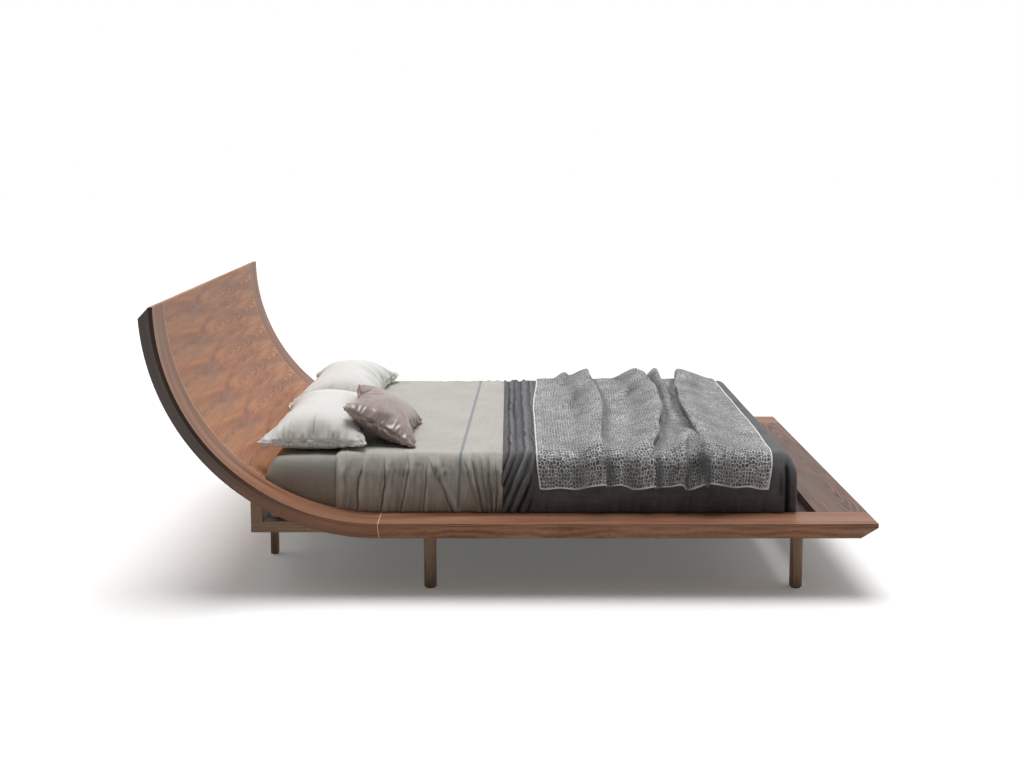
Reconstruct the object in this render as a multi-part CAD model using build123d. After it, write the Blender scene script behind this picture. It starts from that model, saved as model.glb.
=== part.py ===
from build123d import *
import math
import os

# A sleigh bed, in millimetres, +Z up, with the head towards -X and the foot towards +X.
# The origin is on the floor, under the middle of the bed's outline.
# Right is the right hand of a person lying on their back, which is -Y.

# The mattress and the room left around it
MATTRESS_LENGTH = 2000.0
MATTRESS_WIDTH = 1600.0
MATTRESS_HEIGHT = 240.0
MATTRESS_CORNER_RADIUS = 40.0
MATTRESS_EDGE_RADIUS = 40.0
MATTRESS_SIDE_GAP = 10.0
MATTRESS_HEAD_GAP = 20.0
MATTRESS_FOOT_GAP = 90.0

# The section shared by the side rails, the headboard stiles and the foot panel
RAIL_WIDTH = 160.0
RAIL_HEIGHT = 70.0
FASCIA_HEIGHT = 15.0
BEVEL_RUN = 50.0
RAIL_TOP = 280.0

# The sleigh curve: a quarter circle from the end of the rail up to the top of the headboard
CURVE_RADIUS = 805.0
CURVE_LAP = 437.0  # how far the mattress reaches over the foot of the curve
JOINT_INLAY = 3.0  # pale strip between a rail and its stile
FOOT_PANEL_WIDTH = 195.0

# The headboard panel between the stiles
PANEL_THICKNESS = 30.0
PANEL_LOW_GAP = 6.0  # from the head end of the mattress to the panel's lower edge
TONGUE_DEPTH = 12.0
TONGUE_THICKNESS = 10.0
PANEL_INLAY_WIDTH = 3.0
PANEL_INLAY_DEPTH = 4.0

# The base frame inside the rails
BASE_RAIL_WIDTH = 42.0
BASE_RAIL_HEIGHT = 42.0
BASE_RAIL_DROP = 10.0  # how far it hangs below the side rails
POST_WIDTH = 44.0
CENTRE_BEAM_WIDTH = 50.0
CENTRE_BEAM_HEIGHT = 40.0

# The slats
SLAT_COUNT = 13
SLAT_WIDTH = 70.0
SLAT_THICKNESS = 10.0
SLAT_EDGE_RADIUS = 3.0
HOLDER_DEPTH = 20.0
HOLDER_WALL = 4.0
HOLDER_LIP = 2.5
PAD_THICKNESS = 3.0

# The legs
LEG_DIAMETER = 48.0
LEG_CHAMFER = 2.0
LEG_SIDE_INSET = 120.0  # leg centre to the outer edge of the rail
LEG_HEAD_INSET = 185.0  # leg centre to the joint of rail and stile
LEG_FOOT_INSET = 275.0  # leg centre to the foot end
INNER_LEG_WIDTH = 30.0
HEAD_LEG_SPACING = 880.0
CENTRE_LEG_SPACING = 820.0
GLIDE_HEIGHT = 4.0
GLIDE_INSET = 5.0  # a glide is this much smaller all round than its leg

# Dowels, studs, screws and bolts
JOINT_DOWEL_DIAMETER = 12.0
JOINT_DOWEL_LENGTH = 80.0
JOINT_DOWEL_SPACING = 70.0
SMALL_DOWEL_DIAMETER = 8.0
SMALL_DOWEL_LENGTH = 40.0
SMALL_DOWEL_SPACING = 22.0
JOINT_BOLT_DIAMETER = 8.0
JOINT_BOLT_LENGTH = 130.0
BARREL_DIAMETER = 14.0
BARREL_LENGTH = 30.0
STUD_DIAMETER = 10.0
STUD_LENGTH = 45.0
SCREW_DIAMETER = 6.0
SCREW_LENGTH = 66.0
POST_BOLT_DIAMETER = 8.0
POST_BOLT_LENGTH = 90.0
POST_BOLT_DEPTH = 50.0  # below the front face of the stile
HEAD_RATIO = 1.9  # head of a screw or bolt to its shank
HEAD_HEIGHT = 4.0

# The bedding
SHEET_THICKNESS = 2.0
SHEET_TUCK = 20.0  # the sheet's hem above the bottom of the mattress
COVER_THICKNESS = 22.0
COVER_FROM_HEAD = 260.0  # bare sheet at the head end
COVER_WIDTH = 645.0
THROW_THICKNESS = 12.0
THROW_FROM_COVER = 140.0
THROW_WIDTH = 890.0
THROW_DROP = 125.0
ROLL_END = 25.0  # how far a roll runs out past the flat top
ROLL_END_SHARE = 0.3  # its height there
# The loose rolls of the throw. Each stop has a share of the way across, from -1 at the right to 1 at the left,
# a share of the throw's width from its head edge, and a height.
THROW_ROLLS = (
    ((-1, 0.24, 26.0), (0, 0.25, 38.0), (1, 0.24, 46.0)),
    ((-1, 0.46, 28.0), (0, 0.56, 46.0), (1, 0.51, 54.0)),
    ((0.25, 0.655, 16.0), (1, 0.665, 54.0)),
    ((-1, 0.715, 28.0), (0, 0.735, 36.0), (1, 0.85, 50.0)),
)
# Half the section of a roll, as shares of its height: gentle towards the head and steep towards the foot
ROLL_SECTION = ((-1.5, 0.0), (-0.7, 0.5), (-0.15, 1.0), (0.2, 0.95), (0.5, 0.4), (0.85, 0.0))
PILLOW_LENGTH = 740.0
PILLOW_WIDTH = 410.0
PILLOW_THICKNESS = 150.0
PILLOW_SPACING = 780.0
PILLOW_HEAD_INSET = 165.0  # pillow middle to the head end of the mattress
CUSHION_LENGTH = 480.0
CUSHION_WIDTH = 320.0
CUSHION_THICKNESS = 115.0
CUSHION_TILT = 30.0  # degrees
CUSHION_SIDE_INSET = 340.0  # cushion middle to the side of the mattress

# How a pillow or cushion is filled, as shares of its thickness and width
STUFFED_RIM = 0.12
STUFFED_SHOULDER = 0.38
STUFFED_SHOULDER_INSET = 0.11
STUFFED_TOP_INSET = 0.26
STUFFED_CORNER = 0.1

# Clearances
HOLE_CLEARANCE = 0.25  # all round, between a hole and what fills it
FIT_CLEARANCE = 0.3  # between curved faces and around a slat
SOFT_CLEARANCE = 0.3  # between a soft piece and its neighbours
LEAN_CLEARANCE = 0.5  # level, between the cushion and the pillow it leans on
EXTRA = 5.0  # how far a cutter reaches past the face it cuts

# Places along the bed, from the foot to the head
STRAIGHT_LENGTH = MATTRESS_LENGTH + MATTRESS_FOOT_GAP + FOOT_PANEL_WIDTH - CURVE_LAP
HEAD_REACH = math.sqrt((CURVE_RADIUS + RAIL_HEIGHT) ** 2 - BEVEL_RUN**2)
OVERALL_LENGTH = STRAIGHT_LENGTH + JOINT_INLAY + HEAD_REACH
X_FOOT = OVERALL_LENGTH / 2
X_JOINT = X_FOOT - STRAIGHT_LENGTH
X_CURVE = X_JOINT - JOINT_INLAY
X_FOOT_PANEL = X_FOOT - FOOT_PANEL_WIDTH
X_MATTRESS_FOOT = X_FOOT_PANEL - MATTRESS_FOOT_GAP
X_MATTRESS_HEAD = X_MATTRESS_FOOT - MATTRESS_LENGTH
X_POST_FOOT = X_MATTRESS_HEAD - MATTRESS_HEAD_GAP
X_POST_HEAD = X_POST_FOOT - POST_WIDTH
X_POST = (X_POST_FOOT + X_POST_HEAD) / 2
X_FOOT_CROSS = X_FOOT_PANEL - POST_WIDTH

# Places across the bed, on the left side; the right side is its mirror image
Y_INNER = MATTRESS_WIDTH / 2 + MATTRESS_SIDE_GAP
Y_OUTER = Y_INNER + RAIL_WIDTH
Y_BASE = Y_INNER - BASE_RAIL_WIDTH
Y_LEG = Y_OUTER - LEG_SIDE_INSET

# Heights
RAIL_BOTTOM = RAIL_TOP - RAIL_HEIGHT
RAIL_MIDDLE = RAIL_TOP - RAIL_HEIGHT / 2
Z_CURVE = RAIL_TOP + CURVE_RADIUS
BASE_BOTTOM = RAIL_BOTTOM - BASE_RAIL_DROP
BASE_TOP = BASE_BOTTOM + BASE_RAIL_HEIGHT
SLAT_TOP = BASE_TOP - HOLDER_LIP - FIT_CLEARANCE
SLAT_BOTTOM = SLAT_TOP - SLAT_THICKNESS
HOLDER_BOTTOM = SLAT_BOTTOM - FIT_CLEARANCE - HOLDER_LIP
BEAM_TOP = SLAT_BOTTOM - PAD_THICKNESS
BEAM_BOTTOM = BEAM_TOP - CENTRE_BEAM_HEIGHT
MATTRESS_BOTTOM = BASE_TOP + SOFT_CLEARANCE
MATTRESS_TOP = MATTRESS_BOTTOM + MATTRESS_HEIGHT
SHEET_TOP = MATTRESS_TOP + SOFT_CLEARANCE + SHEET_THICKNESS
SHEET_SIDE = MATTRESS_WIDTH / 2 + SOFT_CLEARANCE + SHEET_THICKNESS
COVER_TOP = SHEET_TOP + SOFT_CLEARANCE + COVER_THICKNESS
COVER_SIDE = SHEET_SIDE + SOFT_CLEARANCE + COVER_THICKNESS

# Axis of the sleigh curve, and the angles the panel spans on it
CURVE_AXIS = Axis((X_CURVE, 0, Z_CURVE), (0, 1, 0))
CURVE_SWEEP = 90.0
PANEL_LOW_RUN = X_CURVE - (X_MATTRESS_HEAD - PANEL_LOW_GAP)
PANEL_START = math.degrees(math.asin(PANEL_LOW_RUN / CURVE_RADIUS))


def block(x, y, z):
    """A box between two limits along each axis."""
    middle = [(low + high) / 2 for low, high in (x, y, z)]
    return Pos(*middle) * Box(x[1] - x[0], y[1] - y[0], z[1] - z[0])


def rod(start, direction, length, diameter):
    """A round bar from a start point along a direction."""
    bar = Cylinder(diameter / 2, length, align=(Align.CENTER, Align.CENTER, Align.MIN))
    return Plane(origin=start, z_dir=direction) * bar


def hole(start, direction, length, diameter):
    """The cutter for a rod, larger by the clearance all round and at both ends."""
    reach = Vector(*start) - Vector(*direction) * HOLE_CLEARANCE
    return rod(tuple(reach), direction, length + 2 * HOLE_CLEARANCE, diameter + 2 * HOLE_CLEARANCE)


def headed(start, direction, length, diameter):
    """A screw or bolt: the shank from its start point, with a head outside that point."""
    shank = rod(start, direction, length, diameter)
    back = tuple(-part for part in direction)
    return shank + rod(start, back, HEAD_HEIGHT, diameter * HEAD_RATIO)


def right_of(part):
    """The mirror image of a left-hand piece."""
    return mirror(part, about=Plane.XZ)


def cut(part, cutters):
    """A piece with every cutter taken away from it."""
    for cutter in cutters:
        part = part - cutter
    return part


def group(pieces):
    """Separate pieces kept together under one name."""
    return Compound(children=list(pieces))


def rail_face(x):
    """The rail's section at a place along the bed, on the left side."""
    corners = [
        (x, Y_INNER, RAIL_TOP),
        (x, Y_OUTER, RAIL_TOP),
        (x, Y_OUTER, RAIL_TOP - FASCIA_HEIGHT),
        (x, Y_OUTER - BEVEL_RUN, RAIL_BOTTOM),
        (x, Y_INNER, RAIL_BOTTOM),
    ]
    return make_face(Polyline(*corners, close=True))


def curved_slab(y, depth, start):
    """A strip bent round the sleigh curve, between two depths below its front face."""
    top = RAIL_TOP - depth[0]
    bottom = RAIL_TOP - depth[1]
    corners = [(X_CURVE, y[0], top), (X_CURVE, y[1], top), (X_CURVE, y[1], bottom), (X_CURVE, y[0], bottom)]
    face = make_face(Polyline(*corners, close=True)).rotate(CURVE_AXIS, start)
    return revolve(face, axis=CURVE_AXIS, revolution_arc=CURVE_SWEEP - start)


def bevel_cutter(edge, inward, down):
    """The wedge under an end: upright fascia first, then the bevel running in."""
    low = edge + down * RAIL_HEIGHT + inward * BEVEL_RUN
    start = edge + down * FASCIA_HEIGHT
    slope = (low - start).normalized()
    first = start - slope * EXTRA
    second = low + slope * EXTRA
    out = -inward * 4 * RAIL_HEIGHT
    side = Vector(0, Y_OUTER + EXTRA, 0)
    corners = [first - side, second - side, second + out - side, first + out - side]
    face = make_face(Polyline(*corners, close=True))
    return extrude(face, amount=2 * side.Y, dir=(0, 1, 0))


def foot_bevel():
    """The wedge cut from the foot ends of the rails and the foot panel."""
    return bevel_cutter(Vector(X_FOOT, 0, RAIL_TOP), Vector(-1, 0, 0), Vector(0, 0, -1))


def top_bevel():
    """The wedge cut from the top end of the headboard."""
    top = Vector(X_CURVE - CURVE_RADIUS, 0, Z_CURVE)
    return bevel_cutter(top, Vector(0, 0, -1), Vector(-1, 0, 0))


def joint_dowel_places():
    """Start points of the dowels through the joint of rail and stile, left side."""
    middle = (Y_INNER + Y_OUTER - BEVEL_RUN / 2) / 2
    start = X_JOINT - JOINT_INLAY / 2 - JOINT_DOWEL_LENGTH / 2
    return [(start, middle + side * JOINT_DOWEL_SPACING / 2, RAIL_MIDDLE) for side in (-1, 1)]


def joint_bolt_place():
    """Start point of the bolt that draws rail and stile together, left side."""
    middle = (Y_INNER + Y_OUTER - BEVEL_RUN / 2) / 2
    start = X_JOINT - JOINT_INLAY / 2 - JOINT_BOLT_LENGTH / 2
    return (start, middle, RAIL_MIDDLE)


def barrel_places():
    """Lower ends of the two cross nuts that the joint bolt screws into, left side."""
    start, y, z = joint_bolt_place()
    inset = BARREL_DIAMETER
    places = (start + inset, start + JOINT_BOLT_LENGTH - inset)
    return [(x, y, z - BARREL_LENGTH / 2) for x in places]


def foot_dowel_places():
    """Start points of the dowels between the foot panel and the left rail."""
    first = X_FOOT_PANEL + FOOT_PANEL_WIDTH / 5
    last = X_FOOT - BEVEL_RUN - FOOT_PANEL_WIDTH / 8
    start = Y_INNER - JOINT_DOWEL_LENGTH / 2
    return [(x, start, RAIL_MIDDLE) for x in (first, (first + last) / 2, last)]


def screw_places():
    """Start points of the screws from the left base rail into the side rail."""
    z = (RAIL_BOTTOM + BASE_TOP) / 2
    straight = [x for x in slat_gaps() if X_JOINT + RAIL_WIDTH < x]
    return [(x, Y_BASE, z) for x in straight[1::2]]


def post_bolt_place():
    """Start point of the bolt from the left post into the stile."""
    radius = CURVE_RADIUS + POST_BOLT_DEPTH
    z = Z_CURVE - math.sqrt(radius**2 - (X_CURVE - X_POST) ** 2)
    return (X_POST, Y_BASE, z)


def leg_places():
    """Middles of the round legs on the left side, head leg first."""
    return [(X_JOINT + LEG_HEAD_INSET, Y_LEG), (X_FOOT - LEG_FOOT_INSET, Y_LEG)]


def centre_leg_places():
    """Middles of the legs under the centre beam."""
    middle = (X_POST_FOOT + X_FOOT_CROSS) / 2
    return [(middle - CENTRE_LEG_SPACING / 2, 0), (middle + CENTRE_LEG_SPACING / 2, 0)]


def stud_start(place, seat):
    """Lower end of the stud that joins a leg to the wood above it."""
    return (place[0], place[1], seat - STUD_LENGTH / 2)


def slat_pitch():
    """Distance from one slat to the next."""
    return (X_FOOT_CROSS - X_POST_FOOT) / SLAT_COUNT


def slat_places():
    """Middles of the slats, from head to foot."""
    return [X_POST_FOOT + slat_pitch() * (index + 0.5) for index in range(SLAT_COUNT)]


def slat_gaps():
    """Middles of the gaps between slats."""
    return [X_POST_FOOT + slat_pitch() * index for index in range(1, SLAT_COUNT)]


def side_rail():
    """The straight left rail, from the joint to the foot end."""
    rail = extrude(rail_face(X_JOINT), amount=STRAIGHT_LENGTH, dir=(1, 0, 0)) - foot_bevel()
    along = (1, 0, 0)
    cutters = [hole(place, along, JOINT_DOWEL_LENGTH, JOINT_DOWEL_DIAMETER) for place in joint_dowel_places()]
    cutters.append(hole(joint_bolt_place(), along, JOINT_BOLT_LENGTH, JOINT_BOLT_DIAMETER))
    cutters.append(barrel_hole(barrel_places()[1]))
    cutters += [hole(p, (0, 1, 0), JOINT_DOWEL_LENGTH, JOINT_DOWEL_DIAMETER) for p in foot_dowel_places()]
    cutters += [hole(p, (0, 1, 0), SCREW_LENGTH, SCREW_DIAMETER) for p in screw_places()]
    cutters += [hole(stud_start(p, RAIL_BOTTOM), (0, 0, 1), STUD_LENGTH, STUD_DIAMETER) for p in leg_places()]
    return cut(rail, cutters)


def barrel_hole(place):
    """The hole for a cross nut, bored up from under the rail."""
    depth = place[2] + BARREL_LENGTH - RAIL_BOTTOM + EXTRA
    start = (place[0], place[1], RAIL_BOTTOM - EXTRA)
    return hole(start, (0, 0, 1), depth, BARREL_DIAMETER)


def headboard_stile():
    """The left stile: the rail's section carried up round the sleigh curve."""
    stile = revolve(rail_face(X_CURVE), axis=CURVE_AXIS, revolution_arc=CURVE_SWEEP) - top_bevel()
    along = (1, 0, 0)
    cutters = [hole(place, along, JOINT_DOWEL_LENGTH, JOINT_DOWEL_DIAMETER) for place in joint_dowel_places()]
    cutters.append(hole(joint_bolt_place(), along, JOINT_BOLT_LENGTH, JOINT_BOLT_DIAMETER))
    cutters.append(barrel_hole(barrel_places()[0]))
    cutters.append(hole(post_bolt_place(), (0, 1, 0), POST_BOLT_LENGTH, POST_BOLT_DIAMETER))
    cutters.append(panel_groove())
    return cut(stile, cutters)


def tongue_depths():
    """Depths of the panel's tongue below the front face."""
    middle = PANEL_THICKNESS / 2
    return (middle - TONGUE_THICKNESS / 2, middle + TONGUE_THICKNESS / 2)


def panel_groove():
    """The groove in the left stile that takes the panel's tongue."""
    near, far = tongue_depths()
    y = (Y_INNER - EXTRA, Y_INNER + TONGUE_DEPTH + FIT_CLEARANCE)
    return curved_slab(y, (near - FIT_CLEARANCE, far + FIT_CLEARANCE), PANEL_START - 1.0)


def headboard_panel():
    """The bent panel, with a tongue in each stile and a rebate for each inlay strip."""
    panel = curved_slab((-Y_INNER, Y_INNER), (0, PANEL_THICKNESS), PANEL_START)
    tongue_end = Y_INNER + TONGUE_DEPTH
    panel = panel + curved_slab((-tongue_end, tongue_end), tongue_depths(), PANEL_START)
    edge = Y_INNER - PANEL_INLAY_WIDTH
    depth = (-FIT_CLEARANCE, PANEL_INLAY_DEPTH + FIT_CLEARANCE)
    rebate = curved_slab((edge, Y_INNER + FIT_CLEARANCE), depth, PANEL_START - 1.0)
    return cut(panel, [rebate, right_of(rebate), top_bevel()])


def panel_inlay():
    """The pale strip let into the left edge of the panel."""
    edge = Y_INNER - PANEL_INLAY_WIDTH
    return curved_slab((edge, Y_INNER), (0, PANEL_INLAY_DEPTH), PANEL_START) - top_bevel()


def joint_inlay():
    """The pale strip between the left rail and its stile."""
    strip = extrude(rail_face(X_CURVE), amount=JOINT_INLAY, dir=(1, 0, 0))
    along = (1, 0, 0)
    cutters = [hole(place, along, JOINT_DOWEL_LENGTH, JOINT_DOWEL_DIAMETER) for place in joint_dowel_places()]
    cutters.append(hole(joint_bolt_place(), along, JOINT_BOLT_LENGTH, JOINT_BOLT_DIAMETER))
    return cut(strip, cutters)


def foot_panel():
    """The flat panel between the rails at the foot."""
    panel = block((X_FOOT_PANEL, X_FOOT), (-Y_INNER, Y_INNER), (RAIL_BOTTOM, RAIL_TOP)) - foot_bevel()
    holes = [hole(p, (0, 1, 0), JOINT_DOWEL_LENGTH, JOINT_DOWEL_DIAMETER) for p in foot_dowel_places()]
    return cut(panel, holes + [right_of(one) for one in holes])


def cross_dowel_places(x):
    """Start points of the dowels between a cross rail and the left base rail."""
    z = BASE_BOTTOM + BASE_RAIL_HEIGHT / 3
    start = Y_BASE - SMALL_DOWEL_LENGTH / 2
    return [(x + side * SMALL_DOWEL_SPACING / 2, start, z) for side in (-1, 1)]


def beam_dowel_places(x):
    """Start points of the dowels between a cross rail's face and the centre beam."""
    z = (BASE_BOTTOM + BEAM_TOP) / 2
    start = x - SMALL_DOWEL_LENGTH / 2
    return [(start, side * SMALL_DOWEL_SPACING / 2, z) for side in (-1, 1)]


def post_tenon(gap):
    """The stub on the foot of the left post, or with a gap the mortise for it."""
    width = POST_WIDTH / 2
    depth = BASE_RAIL_HEIGHT / 3
    y = (Y_BASE + BASE_RAIL_WIDTH / 4 - gap, Y_INNER - BASE_RAIL_WIDTH / 4 + gap)
    x = (X_POST - width / 2 - gap, X_POST + width / 2 + gap)
    return block(x, y, (BASE_TOP - depth - gap, BASE_TOP + EXTRA))


def base_rail():
    """The left rail of the base, from the head post to the foot panel."""
    rail = block((X_POST_HEAD, X_FOOT_PANEL), (Y_BASE, Y_INNER), (BASE_BOTTOM, BASE_TOP))
    cutters = [post_tenon(HOLE_CLEARANCE)]
    for x in (X_POST, X_FOOT_CROSS + POST_WIDTH / 2):
        cutters += [hole(p, (0, 1, 0), SMALL_DOWEL_LENGTH, SMALL_DOWEL_DIAMETER) for p in cross_dowel_places(x)]
    cutters += [hole(p, (0, 1, 0), SCREW_LENGTH, SCREW_DIAMETER) for p in screw_places()]
    return cut(rail, cutters)


def head_post():
    """The left post at the head, cut to the curve of the panel that rests on it."""
    post = block((X_POST_HEAD, X_POST_FOOT), (Y_BASE, Y_INNER), (BASE_TOP, Z_CURVE)) + post_tenon(0)
    axis_start = (X_CURVE, -Y_OUTER, Z_CURVE)
    under = 2 * (CURVE_RADIUS + PANEL_THICKNESS + FIT_CLEARANCE)
    bolt = hole(post_bolt_place(), (0, 1, 0), POST_BOLT_LENGTH, POST_BOLT_DIAMETER)
    return cut(post, [rod(axis_start, (0, 1, 0), 2 * Y_OUTER, under), bolt])


def cross_rail(x_low, x_face):
    """A rail across the base, with the centre beam meeting it at one face."""
    rail = block((x_low, x_low + POST_WIDTH), (-Y_BASE, Y_BASE), (BASE_BOTTOM, BASE_TOP))
    ends = cross_dowel_places(x_low + POST_WIDTH / 2)
    side = [hole(p, (0, 1, 0), SMALL_DOWEL_LENGTH, SMALL_DOWEL_DIAMETER) for p in ends]
    beam = [hole(p, (1, 0, 0), SMALL_DOWEL_LENGTH, SMALL_DOWEL_DIAMETER) for p in beam_dowel_places(x_face)]
    return cut(rail, side + [right_of(one) for one in side] + beam)


def head_leg_places():
    """Middles of the square legs under the head cross rail."""
    return [(X_POST, side * HEAD_LEG_SPACING / 2) for side in (-1, 1)]


def head_cross_rail():
    """The cross rail at the head, with its two legs under it."""
    studs = [hole(stud_start(p, BASE_BOTTOM), (0, 0, 1), STUD_LENGTH, STUD_DIAMETER) for p in head_leg_places()]
    return cut(cross_rail(X_POST_HEAD, X_POST_FOOT), studs)


def foot_cross_rail():
    """The cross rail at the foot, against the foot panel."""
    return cross_rail(X_FOOT_CROSS, X_FOOT_CROSS)


def centre_beam():
    """The beam under the middle of the slats."""
    half = CENTRE_BEAM_WIDTH / 2
    beam = block((X_POST_FOOT, X_FOOT_CROSS), (-half, half), (BEAM_BOTTOM, BEAM_TOP))
    cutters = [hole(stud_start(p, BEAM_BOTTOM), (0, 0, 1), STUD_LENGTH, STUD_DIAMETER) for p in centre_leg_places()]
    for x in (X_POST_FOOT, X_FOOT_CROSS):
        cutters += [hole(p, (1, 0, 0), SMALL_DOWEL_LENGTH, SMALL_DOWEL_DIAMETER) for p in beam_dowel_places(x)]
    return cut(beam, cutters)


def round_leg(place):
    """A turned leg between its glide and the side rail."""
    leg = rod((*place, GLIDE_HEIGHT), (0, 0, 1), RAIL_BOTTOM - GLIDE_HEIGHT, LEG_DIAMETER)
    leg = chamfer(leg.edges().group_by(Axis.Z)[0], LEG_CHAMFER)
    return leg - hole(stud_start(place, RAIL_BOTTOM), (0, 0, 1), STUD_LENGTH, STUD_DIAMETER)


def square_leg(place, seat):
    """A square leg between its glide and the wood above it."""
    half = INNER_LEG_WIDTH / 2
    x = (place[0] - half, place[0] + half)
    y = (place[1] - half, place[1] + half)
    leg = block(x, y, (GLIDE_HEIGHT, seat))
    return leg - hole(stud_start(place, seat), (0, 0, 1), STUD_LENGTH, STUD_DIAMETER)


def slat(x):
    """One slat, with its long edges rounded."""
    end = Y_BASE - HOLDER_WALL - FIT_CLEARANCE
    board = block((x - SLAT_WIDTH / 2, x + SLAT_WIDTH / 2), (-end, end), (SLAT_BOTTOM, SLAT_TOP))
    return fillet(board.edges().filter_by(Axis.Y), SLAT_EDGE_RADIUS)


def slat_holder(x):
    """The holder for the left end of one slat: a box open towards the slat."""
    half = SLAT_WIDTH / 2 + FIT_CLEARANCE
    outside = (x - half - HOLDER_WALL, x + half + HOLDER_WALL)
    holder = block(outside, (Y_BASE - HOLDER_DEPTH, Y_BASE), (HOLDER_BOTTOM, BASE_TOP))
    y = (Y_BASE - HOLDER_DEPTH - EXTRA, Y_BASE - HOLDER_WALL)
    return holder - block((x - half, x + half), y, (SLAT_BOTTOM - FIT_CLEARANCE, SLAT_TOP + FIT_CLEARANCE))


def slat_pad(x):
    """The rubber pad between the centre beam and one slat."""
    half = CENTRE_BEAM_WIDTH / 2
    width = SLAT_WIDTH / 2 - SLAT_EDGE_RADIUS
    return block((x - width, x + width), (-half, half), (BEAM_TOP, SLAT_BOTTOM))


def glides():
    """The glide under every leg."""
    round_places = [(x, side * y) for x, y in leg_places() for side in (-1, 1)]
    square_places = head_leg_places() + centre_leg_places()
    wide = LEG_DIAMETER - 2 * GLIDE_INSET
    narrow = INNER_LEG_WIDTH - 2 * GLIDE_INSET
    discs = [rod((*p, 0), (0, 0, 1), GLIDE_HEIGHT, wide) for p in round_places]
    return group(discs + [rod((*p, 0), (0, 0, 1), GLIDE_HEIGHT, narrow) for p in square_places])


def leg_studs():
    """The threaded stud in the top of every leg."""
    seats = [((x, side * y), RAIL_BOTTOM) for x, y in leg_places() for side in (-1, 1)]
    seats += [(place, BASE_BOTTOM) for place in head_leg_places()]
    seats += [(place, BEAM_BOTTOM) for place in centre_leg_places()]
    return group([rod(stud_start(p, seat), (0, 0, 1), STUD_LENGTH, STUD_DIAMETER) for p, seat in seats])


def both_sides(pieces):
    """Left-hand pieces and their mirror images, as one group."""
    return group(pieces + [right_of(piece) for piece in pieces])


def joint_dowels():
    """The dowels through the joints of rails and stiles."""
    return both_sides([rod(p, (1, 0, 0), JOINT_DOWEL_LENGTH, JOINT_DOWEL_DIAMETER) for p in joint_dowel_places()])


def joint_bolts():
    """The bolts that draw rails and stiles together."""
    return both_sides([rod(joint_bolt_place(), (1, 0, 0), JOINT_BOLT_LENGTH, JOINT_BOLT_DIAMETER)])


def joint_barrels():
    """The cross nuts on the joint bolts."""
    through = hole(joint_bolt_place(), (1, 0, 0), JOINT_BOLT_LENGTH, JOINT_BOLT_DIAMETER)
    return both_sides([rod(p, (0, 0, 1), BARREL_LENGTH, BARREL_DIAMETER) - through for p in barrel_places()])


def foot_dowels():
    """The dowels between the foot panel and the rails."""
    return both_sides([rod(p, (0, 1, 0), JOINT_DOWEL_LENGTH, JOINT_DOWEL_DIAMETER) for p in foot_dowel_places()])


def base_dowels():
    """The dowels of the base frame."""
    cross = []
    for x in (X_POST, X_FOOT_CROSS + POST_WIDTH / 2):
        cross += [rod(p, (0, 1, 0), SMALL_DOWEL_LENGTH, SMALL_DOWEL_DIAMETER) for p in cross_dowel_places(x)]
    beam = []
    for x in (X_POST_FOOT, X_FOOT_CROSS):
        beam += [rod(p, (1, 0, 0), SMALL_DOWEL_LENGTH, SMALL_DOWEL_DIAMETER) for p in beam_dowel_places(x)]
    return group(cross + [right_of(one) for one in cross] + beam)


def base_screws():
    """The screws from the base rails into the side rails."""
    return both_sides([headed(p, (0, 1, 0), SCREW_LENGTH, SCREW_DIAMETER) for p in screw_places()])


def post_bolts():
    """The bolts from the posts into the stiles."""
    return both_sides([headed(post_bolt_place(), (0, 1, 0), POST_BOLT_LENGTH, POST_BOLT_DIAMETER)])


def rounded_mattress(grow, bottom):
    """The mattress shape grown outwards all round, down to a given height."""
    half = MATTRESS_WIDTH / 2 + grow
    x = (X_MATTRESS_HEAD - grow, X_MATTRESS_FOOT + grow)
    body = block(x, (-half, half), (bottom, MATTRESS_TOP + grow))
    body = fillet(body.edges().filter_by(Axis.Z), MATTRESS_CORNER_RADIUS + grow)
    return fillet(body.edges().group_by(Axis.Z)[-1], MATTRESS_EDGE_RADIUS + grow)


def mattress():
    """The mattress, rounded at its corners and along both rims."""
    body = rounded_mattress(0, MATTRESS_BOTTOM)
    return fillet(body.edges().group_by(Axis.Z)[0], MATTRESS_EDGE_RADIUS)


def layer(inside, outside, bottom):
    """A layer of cloth over the mattress, between two distances from it."""
    outer = rounded_mattress(outside, bottom)
    return outer - rounded_mattress(inside, bottom - EXTRA)


def between(part, x_low, x_high):
    """The length of a layer between two places along the bed."""
    keep = block((x_low, x_high), (-2 * Y_OUTER, 2 * Y_OUTER), (0, 2 * Z_CURVE))
    return part & keep


def curve_room():
    """The space that a cover hanging over a stile has to leave free."""
    low = block((X_CURVE - CURVE_RADIUS, X_CURVE), (-Y_OUTER, Y_OUTER), (0, MATTRESS_TOP - MATTRESS_EDGE_RADIUS))
    axis_start = (X_CURVE, -2 * Y_OUTER, Z_CURVE)
    return low - rod(axis_start, (0, 1, 0), 4 * Y_OUTER, 2 * (CURVE_RADIUS - SOFT_CLEARANCE))


def fitted_sheet():
    """The sheet stretched over the mattress."""
    inside = SOFT_CLEARANCE
    return layer(inside, inside + SHEET_THICKNESS, MATTRESS_BOTTOM + SHEET_TUCK)


def cover_layer():
    """The thickness of cloth over the sheet, for both the cover and the blanket."""
    inside = 2 * SOFT_CLEARANCE + SHEET_THICKNESS
    return layer(inside, inside + COVER_THICKNESS, RAIL_TOP + SOFT_CLEARANCE)


def light_cover():
    """The light cover over the middle of the bed."""
    start = X_MATTRESS_HEAD + COVER_FROM_HEAD
    return between(cover_layer(), start, start + COVER_WIDTH) - curve_room()


def dark_blanket():
    """The dark blanket over the foot of the bed."""
    start = X_MATTRESS_HEAD + COVER_FROM_HEAD + COVER_WIDTH + SOFT_CLEARANCE
    return between(cover_layer(), start, X_FOOT)


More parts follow.
